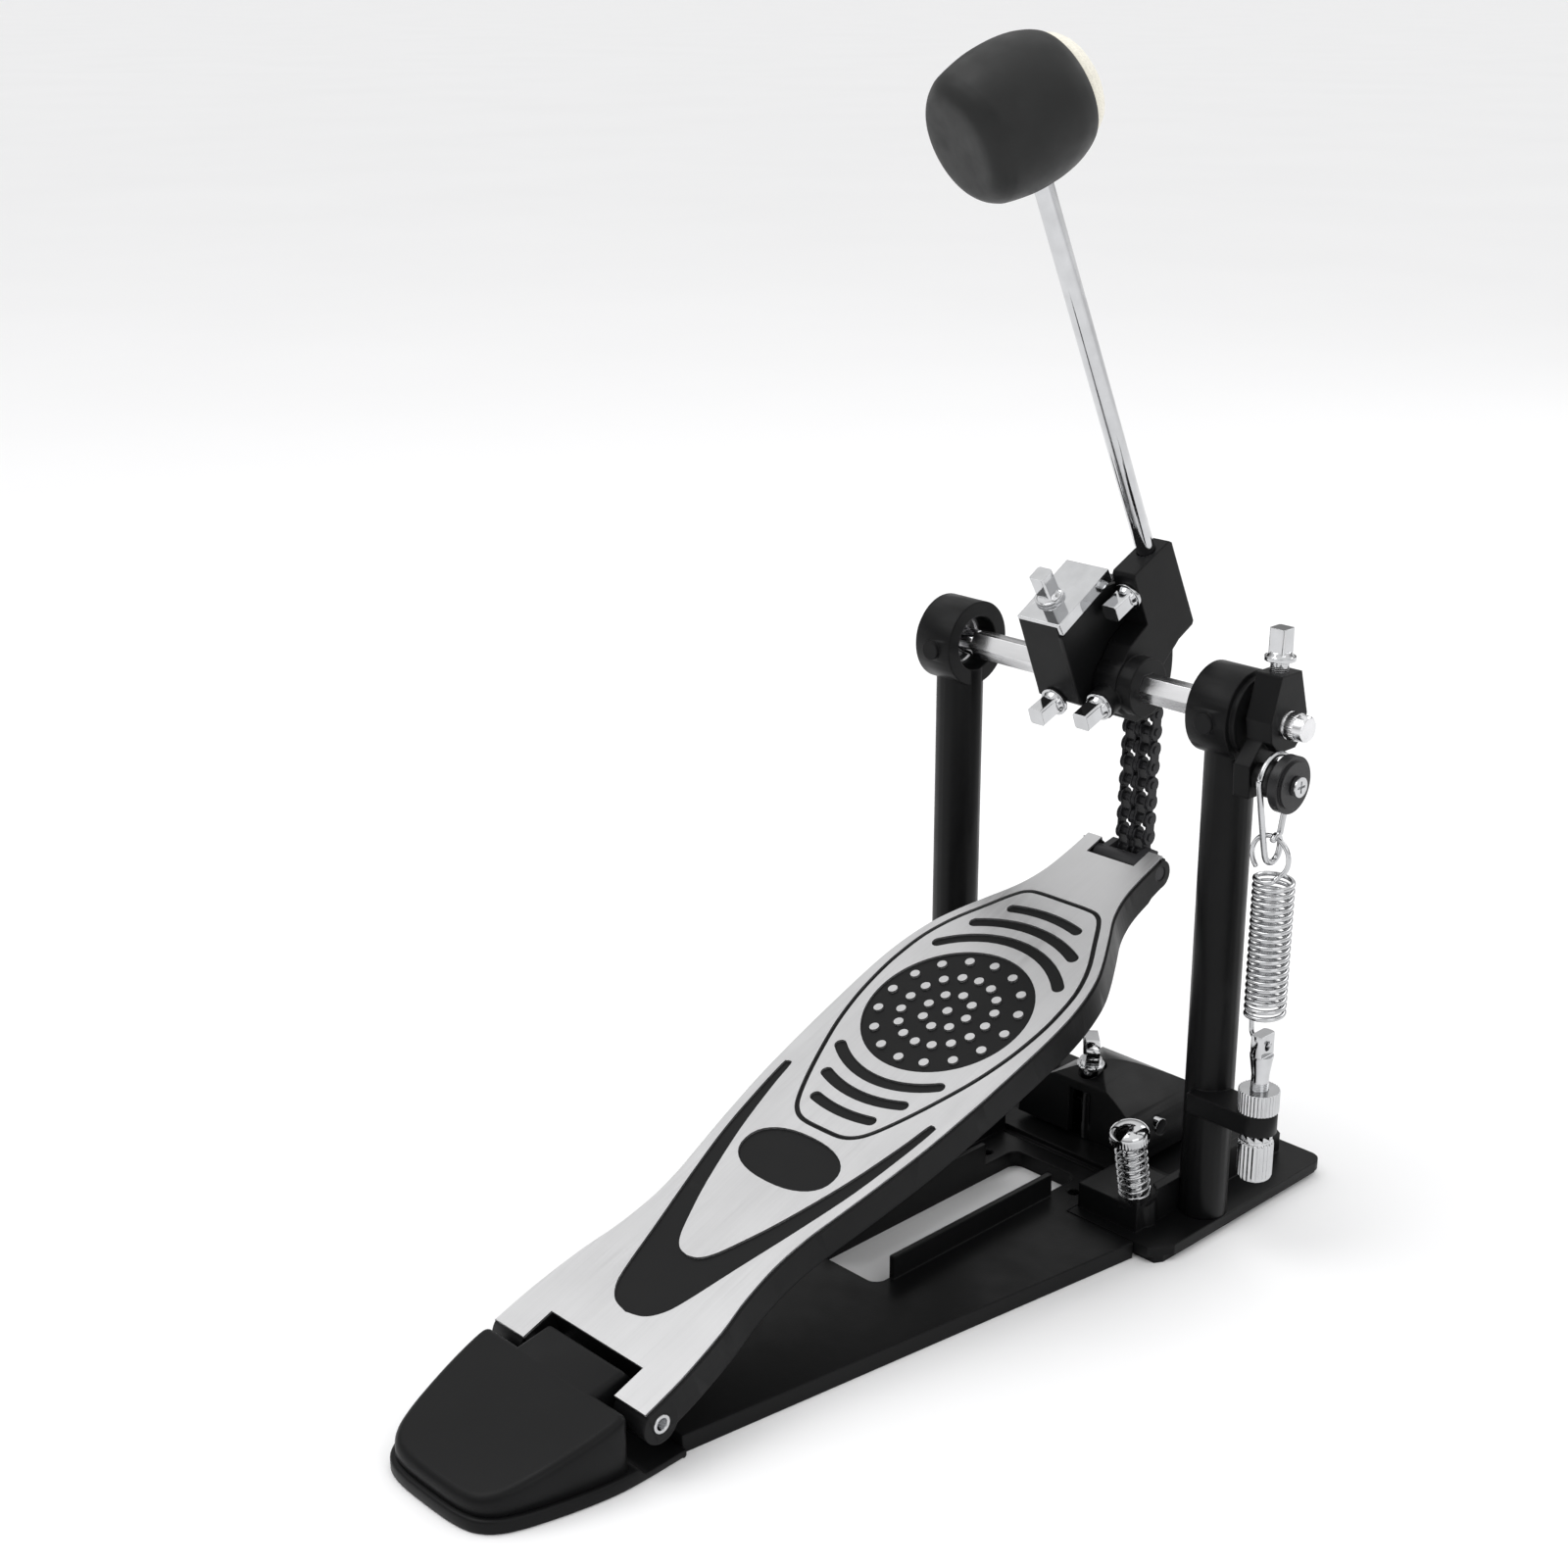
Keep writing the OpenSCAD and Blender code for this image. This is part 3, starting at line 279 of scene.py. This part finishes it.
def tube(name, path, radius, sides=12):
    """A round wire along a path, with domed ends; the section turns as little as it can."""
    path = [Vector(p) for p in path]
    verts, faces = [], []
    along = (path[1] - path[0]).normalized()
    across = along.orthogonal().normalized()
    for i, p in enumerate(path):
        ahead = path[min(i + 1, len(path) - 1)] - path[max(i - 1, 0)]
        ahead.normalize()
        across = (across - ahead * across.dot(ahead)).normalized()
        side = ahead.cross(across)
        for k in range(sides):
            a = 2 * math.pi * k / sides
            verts.append(p + (across * math.cos(a) + side * math.sin(a)) * radius)
    for i in range(len(path) - 1):
        for k in range(sides):
            j = (k + 1) % sides
            faces.append((i * sides + k, i * sides + j, (i + 1) * sides + j, (i + 1) * sides + k))
    for start, inner, sign in ((0, path[0], -1), ((len(path) - 1) * sides, path[-1], 1)):
        near = path[1] if sign < 0 else path[-2]
        out = (inner - near).normalized() * radius * 0.5
        ring = [inner + (verts[start + k] - inner) * 0.75 + out * 0.7 for k in range(sides)]
        base = len(verts)
        verts.extend(ring)
        tip = len(verts)
        verts.append(inner + out)
        for k in range(sides):
            j = (k + 1) % sides
            faces.append((start + k, start + j, base + j, base + k))
            faces.append((base + k, base + j, tip))
    return mesh_from(name, verts, faces)


def lathe(name, profile, place, sides=96, teeth=0, depth=0.0):
    """Turns a profile of (radius, height, knurled) about Z, then moves it by the matrix place.
    Rows marked knurled get that many teeth, depth deep."""
    verts, faces = [], []
    for row in profile:
        r, h = row[0], row[1]
        cut = depth if len(row) > 2 and row[2] else 0.0
        for k in range(sides):
            a = 2 * math.pi * k / sides
            wave = 0.5 - 0.5 * math.cos(a * teeth) if cut else 0.0
            verts.append(place @ Vector(((r - cut * wave) * math.cos(a), (r - cut * wave) * math.sin(a), h)))
    for i in range(len(profile) - 1):
        for k in range(sides):
            j = (k + 1) % sides
            faces.append((i * sides + k, i * sides + j, (i + 1) * sides + j, (i + 1) * sides + k))
    faces.append(tuple(reversed(range(sides))))
    last = (len(profile) - 1) * sides
    faces.append(tuple(last + k for k in range(sides)))
    return mesh_from(name, verts, faces)


def along_axis(point, direction):
    """Matrix that takes the origin to point and +Z to direction."""
    z = Vector(direction).normalized()
    return Matrix.Translation(Vector(point)) @ z.to_track_quat("Z", "Y").to_matrix().to_4x4()


def finish_cad_node(name, slot, bevel):
    """A kept CAD node: its material, and a bevel of that many millimetres on its sharp edges."""
    obj = NODES[name]
    obj.data.materials.clear()
    obj.data.materials.append(MATERIALS[slot])
    if bevel:
        weld = obj.modifiers.new("weld", "WELD")
        weld.merge_threshold = 0.00001
        modifier = obj.modifiers.new("bevel", "BEVEL")
        modifier.width = bevel * MM
        modifier.segments = 2
        modifier.limit_method = "ANGLE"
        modifier.angle_limit = math.radians(35)
        modifier.harden_normals = True
        modifier.use_clamp_overlap = True


# ---------------------------------------------------------------- kept CAD nodes

BEVELS = {
    "base_plate": 1.0, "cross_casting": 0.8, "post_left": 0.5, "post_right": 0.5,
    "footboard": 0.5, "toe_pin": 0.2, "chain_connector": 0.4, "axle_shaft": 0.3,
    "sprocket": 0.25, "clamp_plate": 0.35, "clamp_bolt": 0.3, "sprocket_bolt": 0.3,
    "beater_holder": 0.6, "holder_bolt": 0.3, "beater_bolt": 0.3, "rocker_arm": 0.6,
    "rocker_bolt": 0.3, "roller_screw": 0.2, "clamp_jaw": 1.4, "wing_screw": 0.5,
    "swivel_bolt": 0.5, "hinge_pin": 0.25, "jaw_pin": 0.3, "beater_rod": 0.4,
    "lock_nut": 0.2, "connector_screws": 0.3,
}
for entry in frame["record"]["subparts"]:
    finish_cad_node(entry["node"], entry["material_slot"], BEVELS.get(entry["node"], 0.0))


# ---------------------------------------------------------------- springs and wire

def helix(centre, radius, low, high, turns, start=0.0, per_turn=28):
    """Points of a coil that climbs from low to high."""
    count = int(turns * per_turn)
    points = []
    for i in range(count + 1):
        a = start + 2 * math.pi * turns * i / count
        z = low + (high - low) * i / count
        points.append(Vector((centre[0] + radius * math.cos(a), centre[1] + radius * math.sin(a), z)))
    return points


def return_spring():
    """One wire: a hook through the eye bolt, the coil, and the open ring that the stirrup pulls.
    It is baked in place and rides on no body."""
    x, y = SPRING_X, LUG_Y
    hook_r = 4.6
    hook = [Vector((x + hook_r * math.cos(a), y, EYE_Z + hook_r - hook_r * math.sin(a)))
            for a in [math.radians(d) for d in range(50, 180, 10)]]
    rise = [(x - 5.2, y + 0.6, SPRING_LOW - 3.2), (x - 5.8, y + 0.4, SPRING_LOW - 1.2)]
    coil = helix((x, y), COIL_R, SPRING_LOW, SPRING_HIGH, COILS - 0.75, math.pi)
    over = [(x + 2.4, y - 5.2, SPRING_HIGH + 0.5), (x + 2.8, y - 4.0, SPRING_HIGH + 1.0)]
    ring = [Vector((x + RING_R * math.cos(a), ROLLER_Y, RING_Z + RING_R * math.sin(a)))
            for a in [math.radians(d) for d in range(-58, 232, 10)]]
    path = (hook + spline([hook[-1], *rise, coil[0]], 4)[1:-1] + coil
            + spline([coil[-1], *over, ring[0]], 4)[1:-1] + ring)
    obj = piece("return_spring_wire", tube("return_spring_wire", path, WIRE_R, 10), None, "spring_wire",
                ("return_spring",))
    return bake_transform(obj)


def stirrup():
    """Wire over the roller's hub, with its tail turned back through the spring's ring."""
    x = SPRING_X
    r = 8.4
    arc = [(x, ROLLER_Y + r * math.cos(math.radians(d)), ROLLER_Z + r * math.sin(math.radians(d)))
           for d in range(0, 181, 12)]
    before = [(x, ROLLER_Y + 4.4, 149.5), (x, ROLLER_Y + 6.4, 158.5)]
    after = [(x, ROLLER_Y - 6.2, 157.5), (x, ROLLER_Y - 4.0, 147.5), (x + 0.1, ROLLER_Y - 2.6, 142.8),
             (x + 0.4, ROLLER_Y - 0.2, 141.2), (x + 0.9, ROLLER_Y + 2.2, 142.6),
             (x + 1.3, ROLLER_Y + 2.9, 146.2), (x + 1.6, ROLLER_Y + 1.6, 149.6),
             (x + 1.8, ROLLER_Y - 0.5, 150.6), (x + 1.9, ROLLER_Y - 2.2, 149.2)]
    path = spline([*before, *arc, *after], 6)
    return piece("stirrup_wire", tube("stirrup_wire", path, 1.0, 12), "stirrup", "spring_wire", ("stirrup",))


def spur_matrix(side):
    """A spur's own frame: origin on the floor, +Z along the leaning screw."""
    return (Matrix.Translation(Vector((side * SPUR_X, SPUR_Y, 0)))
            @ Matrix.Rotation(SPUR_TILT, 4, "X"))


def spurs():
    """Floor spurs: pointed screw with a domed head knurled round its rim, and the open spring below it."""
    profile = [(0.35, 1.4), (3.0, 5.2), (3.0, 8.0)]
    for i in range(26):
        z = 8.4 + i * 1.1
        profile += [(2.98, z), (2.62, z + 0.35), (2.62, z + 0.55), (2.98, z + 0.9)]
    profile += [(2.9, 37.6), (5.0, 37.9), (6.3, 38.2), (6.7, 38.7, True), (6.75, 39.1, True),
                (6.75, 40.9, True), (6.65, 41.4), (6.45, 42.0), (6.0, 42.6), (5.3, 43.2),
                (4.2, 43.75), (2.8, 44.15), (1.4, 44.33), (0.4, 44.37)]
    low, high = 17.6, 36.9
    for side, label in ((-1, "left"), (1, "right")):
        m = spur_matrix(side)
        screw = lathe("spur_screw_" + label, profile, m, 120, 40, 0.28)
        obj = piece("spur_screw_" + label, screw, "spur_" + label, "bright_chrome", ("spur_" + label,))
        crease(obj, 50)
        flat = helix((0, 0), 5.15, low, low + 0.1, 1.0)[14:-1]
        coil = helix((0, 0), 5.15, low, high, 6.6)
        path = [m @ p for p in flat + coil]
        piece("spur_wire_" + label, tube("spur_wire_" + label, path, 0.42, 10), "frame", "spring_wire",
              ("spur_spring_" + label,))


# ---------------------------------------------------------------- beater

def beater_matrix():
    """The head's own frame: origin at its centre, +Z towards the drum."""
    up = Vector((0, -math.sin(ROD_LEAN), math.cos(ROD_LEAN)))
    out = Vector((0, math.cos(ROD_LEAN), math.sin(ROD_LEAN)))
    centre = Vector((ROD_X, 0, AXLE_Z)) + up * HEAD_U + out * ROD_V
    return along_axis(centre, out * math.cos(HEAD_TURN) + Vector((math.sin(HEAD_TURN), 0, 0)))


def beater():
    """Plastic shell, and the felt let into its face, matted by two sizes of noise."""
    m = beater_matrix()
    side = [(0.6, -23.4), (4, -23.45), (8, -23.5), (11.4, -23.48), (13.6, -23.3),
            (15.2, -22.9), (16.5, -22.1), (17.5, -21.2), (18.4, -20.2), (19.3, -18.8),
            (20.0, -17.3), (20.9, -13.4), (21.7, -8.5), (21.9, -3.7), (21.7, 1.2), (20.9, 6.1),
            (19.6, 10.0), (18.6, 12.0), (18.0, 12.9), (17.5, 13.3), (17.1, 13.3), (16.8, 13.0),
            (16.75, 9.5)]
    rows = [(p.x, p.y) for p in spline([(r, h, 0) for r, h in side], 3)]
    shell = lathe("beater_shell", rows, m, 128)
    piece("beater_shell", shell, "beater", "head_plastic", ("beater_head",))
    dome = [(16.4, 9.2), (16.5, 13.0), (16.45, 14.4), (16.15, 15.7), (15.3, 17.4), (13.6, 19.0),
            (10.5, 20.2), (7.6, 20.65), (4.2, 20.85), (0.6, 20.9)]
    rows = [(p.x, p.y) for p in spline([(r, h, 0) for r, h in dome], 6)]
    felt = lathe("beater_felt_pad", rows, m, 160)
    centre = m.translation
    for v in felt.vertices:
        lift = noise.fractal(v.co * 1.6, 1.0, 2.0, 4) * 0.09 + noise.noise(v.co * 0.22) * 0.12
        v.co += (v.co - centre).normalized() * (lift - 0.12)
    obj = piece("beater_felt_pad", felt, "beater", "felt", ("beater_felt",))


# ---------------------------------------------------------------- heel block

def loft(name, rings):
    """Closed skin over rings from whole(), each end closed by strips from side to side."""
    n = len(rings[0])
    m = n // 2
    verts = [p for ring in rings for p in ring]
    faces = []
    for base in (0, len(verts) - n):
        faces.append((base + m, base + m + 1, base + m - 1))
        for k in range(1, m):
            faces.append((base + m + k, base + m + k + 1, base + m - k - 1, base + m - k))
    for i in range(len(rings) - 1):
        for k in range(n):
            j = (k + 1) % n
            faces.append((i * n + k, i * n + j, (i + 1) * n + j, (i + 1) * n + k))
    return mesh_from(name, verts, faces)


def whole(half):
    """A symmetrical plan outline, anticlockwise, from its right half, which starts at x = 0."""
    return [Vector((-p.x, p.y)) for p in reversed(half[1:])] + half


def shrunk(outline, distance):
    """A plan outline moved inwards by that distance."""
    out = []
    for i, p in enumerate(outline):
        ahead = outline[(i + 1) % len(outline)] - outline[i - 1]
        out.append(p + Vector((-ahead.y, ahead.x)).normalized() * distance)
    return out


def corner(x, y, radius, start):
    """Quarter arc about (x, y), anticlockwise from the angle start in degrees."""
    return [Vector((x + radius * math.cos(math.radians(start + d)),
                    y + radius * math.sin(math.radians(start + d))))
            for d in range(0, 91, 15)]


def heel_top(y):
    """Height of the top of the cover, or of the tongue behind it."""
    slope = COVER_SLOPE if y < HEEL_REAR else TONGUE_SLOPE
    return HEEL_TOP + slope * (y - HEEL_REAR)


def heel_block():
    """Cast heel block: a lipped foot, a groove, a cover that slopes down to the player with all
    its edges rounded, and the tongue over the hinge."""
    rear = HEEL_REAR
    foot = whole([Vector((p.x, p.y)) for p in spline([(x, y, 0) for x, y in HEEL_SIDE], 6)])
    rings = []
    for inner, z in ((0.8, 0.05), (0.2, 0.25), (0, 0.8), (0, 3.7), (0.25, 4.25), (0.8, 4.5)):
        rings.append([(p.x, p.y, z if p.y < rear + 3 else min(z, 2.4)) for p in shrunk(foot, inner)])
    crease(piece("heel_foot", loft("heel_foot", rings), "frame", "black_coat", ("heel_block",)), 50)

    round_r = 2.6
    wall = [p for p in shrunk(foot, 1.6) if p.x > 0.01 and p.y < rear - round_r - 0.6]
    bend = corner(wall[-1].x - round_r - 0.1, rear - round_r - 0.1, round_r + 0.1, 0)
    cover = whole([Vector((0, wall[0].y))] + wall + bend)
    rings = [[(p.x, p.y, z) for p in shrunk(cover, inner)] for inner, z in ((0.5, 4.0), (0, 4.6))]
    for step in range(0, 91, 15):
        inner = round_r * (1 - math.cos(math.radians(step)))
        drop = round_r * (1 - math.sin(math.radians(step)))
        rings.append([(p.x, p.y, heel_top(p.y) - drop) for p in shrunk(cover, inner)])
    crease(piece("heel_cover", loft("heel_cover", rings), "frame", "black_coat"), 60)

    rings = []
    # a height of 0 stands for the sloping top, less the drop
    for inner, far, z, drop in ((0, 1.0, 4.4, 0), (0, 5.2, HINGE_Z - 2, 0),
                                (0, 5.2, HINGE_Z + 2, 0), (0, 2.9, 0, 2.2), (0.3, 2.2, 0, 1.1),
                                (1.0, 1.7, 0, 0.35), (2.2, 1.0, 0, 0.01)):
        w, near, far = 17.0 - inner, rear - 4 + inner, HINGE_Y + far - 1
        plan = whole([Vector((0, near - 1))] + corner(w, near, 1, 270) + corner(w, far, 1, 0))
        rings.append([(p.x, p.y, z if z else heel_top(p.y) - drop) for p in plan])
    crease(piece("heel_tongue", loft("heel_tongue", rings), "frame", "black_coat"), 50)
    knuckle = lathe("heel_knuckle", [(5.4, -17.9), (5.95, -17.4), (5.95, 17.4), (5.4, 17.9)],
                    along_axis((0, HINGE_Y, HINGE_Z), (1, 0, 0)), 64)
    crease(piece("heel_knuckle", knuckle, "frame", "black_coat"), 50)


# ---------------------------------------------------------------- small hardware

def tension_nut():
    """Knurled barrel with the saw-toothed crown that clicks against the lug."""
    m = Matrix.Translation(Vector((SPRING_X, LUG_Y, 0)))
    rows = [(3.0, 30.0), (4.8, 30.0), (5.4, 30.5), (5.8, 31.2, True), (5.85, 31.8, True), (5.85, 42.6, True),
            (5.75, 43.2, True), (5.3, 43.5), (5.2, 43.9), (5.2, 44.5)]
    barrel = lathe("tension_barrel", rows, m, 144, 24, 0.42)
    obj = piece("tension_barrel", barrel, "tension_nut", "bright_chrome", ("tension_nut",))
    crease(obj, 40)
    teeth = 12
    verts, faces = [], []
    for i in range(teeth):
        a0, a1 = 2 * math.pi * i / teeth, 2 * math.pi * (i + 1) / teeth - 0.03
        base = len(verts)
        for a, top in ((a0, 46.6), (a1, 44.9)):
            for r in (3.2, 5.25):
                verts.append((SPRING_X + r * math.cos(a), LUG_Y + r * math.sin(a), 44.2))
                verts.append((SPRING_X + r * math.cos(a), LUG_Y + r * math.sin(a), top))
        b = base
        faces += [(b, b + 1, b + 3, b + 2), (b + 4, b + 6, b + 7, b + 5), (b + 1, b + 5, b + 7, b + 3),
                  (b, b + 2, b + 6, b + 4), (b + 2, b + 3, b + 7, b + 6), (b, b + 4, b + 5, b + 1)]
    crown = piece("tension_crown", mesh_from("tension_crown", verts, faces), "tension_nut", "bright_chrome")
    crease(crown, 20)


def axle_knurl():
    """Knurled band behind the free end of the axle."""
    m = along_axis((79.3, 0, AXLE_Z), (1, 0, 0))
    rows = [(4.1, 0.0), (4.5, 0.15, True), (4.56, 0.5, True), (4.56, 2.7, True), (4.5, 3.0, True), (4.1, 3.2)]
    obj = piece("axle_knurl", lathe("axle_knurl", rows, m, 144, 36, 0.2), "axle", "bright_steel")
    crease(obj, 40)


def threads():
    """Turned thread on the parts of the bolts that show."""
    places = [
        ("rocker_thread", (73.6, 0, AXLE_Z + 16.2), (0, 0, 1), 3.6, 2.95, "axle"),
        ("swivel_thread", (SPRING_X, LUG_Y, 61.9), (0, 0, 1), 3.2, 2.95, "frame"),
    ]
    for name, start, axis, length, radius, body in places:
        rows = [(radius - 0.35, 0.0)]
        pitch = 0.6
        for i in range(int(length / pitch)):
            z = i * pitch
            rows += [(radius - 0.3, z + 0.05), (radius, z + 0.25),
                     (radius, z + 0.35), (radius - 0.3, z + 0.55)]
        obj = piece(name, lathe(name, rows, along_axis(start, axis), 48), body, "bright_chrome")
        crease(obj, 60)


def hoop_pad():
    """Ribbed rubber pad, with softened corners, let into the lower jaw."""
    low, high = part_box("hoop_pad")
    low, high = low / MM, high / MM
    bm = bmesh.new()
    bmesh.ops.create_cube(bm, size=1.0)
    for v in bm.verts:
        v.co = Vector(((low[i] + high[i]) / 2 + v.co[i] * (high[i] - low[i]) for i in range(3)))
    cuts = 15
    edges = [e for e in bm.edges if abs(e.verts[0].co.y - e.verts[1].co.y) > 5]
    bmesh.ops.subdivide_edges(bm, edges=edges, cuts=cuts)
    for v in bm.verts:
        row = round((v.co.y - low.y) / (high.y - low.y) * (cuts + 1))
        if v.co.z > high.z - 0.01 and row % 2 == 1:
            v.co.z -= 0.55
    bmesh.ops.bevel(bm, geom=[e for e in bm.edges if e.calc_face_angle(0) > 0.3], offset=0.25, segments=2,
                    affect="EDGES")
    mesh = bpy.data.meshes.new("hoop_pad_rubber")
    bm.to_mesh(mesh)
    bm.free()
    piece("hoop_pad_rubber", mesh, "frame", "pad_rubber", ("hoop_pad",))


# ---------------------------------------------------------------- stage, light, camera

def soft_light(name, place, target, size, power):
    """Rectangular light of that size in metres and power in watts, facing target."""
    data = bpy.data.lights.new(name, "AREA")
    data.shape = "RECTANGLE"
    data.size, data.size_y = size
    data.energy = power
    obj = bpy.data.objects.new(name, data)
    bpy.context.scene.collection.objects.link(obj)
    obj.location = place
    obj.rotation_euler = (Vector(target) - Vector(place)).to_track_quat("-Z", "Y").to_euler()


def stage():
    """Wide pale floor, a soft sky and three large lights."""
    s = Shader("studio_floor", (0.93, 0.93, 0.935), 0.0, 0.7)
    s.set("Specular IOR Level", 0.1)
    s.vary_colour(s.noise(0.4, 3), 0.008)
    half = 60.0
    mesh = bpy.data.meshes.new("studio_floor")
    corners = [(-half, -half, 0), (half, -half, 0), (half, half, 0), (-half, half, 0)]
    mesh.from_pydata(corners, [], [(0, 1, 2, 3)])
    mesh.materials.append(s.material)
    floor = bpy.data.objects.new("studio_floor", mesh)
    bpy.context.scene.collection.objects.link(floor)

    world = bpy.data.worlds.new("studio")
    world.use_nodes = True
    tree = world.node_tree
    background = tree.nodes["Background"]
    coords = tree.nodes.new("ShaderNodeTexCoord")
    split = tree.nodes.new("ShaderNodeSeparateXYZ")
    ramp = tree.nodes.new("ShaderNodeValToRGB")
    stops = ramp.color_ramp.elements
    stops[0].position, stops[0].color = 0.0, (0.78, 0.78, 0.78, 1)
    stops[1].position, stops[1].color = 1.0, (0.9, 0.9, 0.9, 1)
    # pale horizon, a darker band above it for the chrome to mirror, and a bright top
    for position, level in ((0.11, 0.72), (0.17, 0.2), (0.33, 0.24), (0.5, 0.72)):
        stop = stops.new(position)
        stop.color = (level, level, level, 1)
    tree.links.new(coords.outputs["Generated"], split.inputs["Vector"])
    tree.links.new(split.outputs["Z"], ramp.inputs["Fac"])
    tree.links.new(ramp.outputs["Color"], background.inputs["Color"])
    background.inputs["Strength"].default_value = 1.3
    bpy.context.scene.world = world

    middle_point = (0, -0.08, 0.12)
    soft_light("key", (-0.5, -0.7, 1.5), middle_point, (1.1, 1.1), 8)
    soft_light("fill", (1.3, -0.5, 0.7), middle_point, (0.9, 0.9), 2.5)
    soft_light("rim", (0.3, 1.3, 1.0), middle_point, (1.2, 0.6), 4)


def camera():
    """The player's right-hand side, from a little above, as a product is shown."""
    azimuth, elevation, roll = (math.radians(degrees) for degrees in (46.219, 19.442, 0.24))
    place = Vector((0.467078, -0.588178, 0.407347))
    ahead = Vector((-math.sin(azimuth) * math.cos(elevation), math.cos(azimuth) * math.cos(elevation),
                    -math.sin(elevation)))
    right = Vector((math.cos(azimuth), math.sin(azimuth), 0))
    down = ahead.cross(right)
    right, down = (right * math.cos(roll) + down * math.sin(roll),
                   down * math.cos(roll) - right * math.sin(roll))
    data = bpy.data.cameras.new("camera")
    data.sensor_width = 36.0
    data.lens = 53.8406
    data.clip_start = 0.01
    obj = bpy.data.objects.new("camera", data)
    bpy.context.scene.collection.objects.link(obj)
    turn = Matrix((right, -down, -ahead)).transposed().to_4x4()
    obj.matrix_world = Matrix.Translation(place) @ turn
    bpy.context.scene.camera = obj


return_spring()
stirrup()
spurs()
beater()
heel_block()
tension_nut()
axle_knurl()
threads()
hoop_pad()
stage()
camera()
bpy.context.scene.view_settings.view_transform = "Standard"
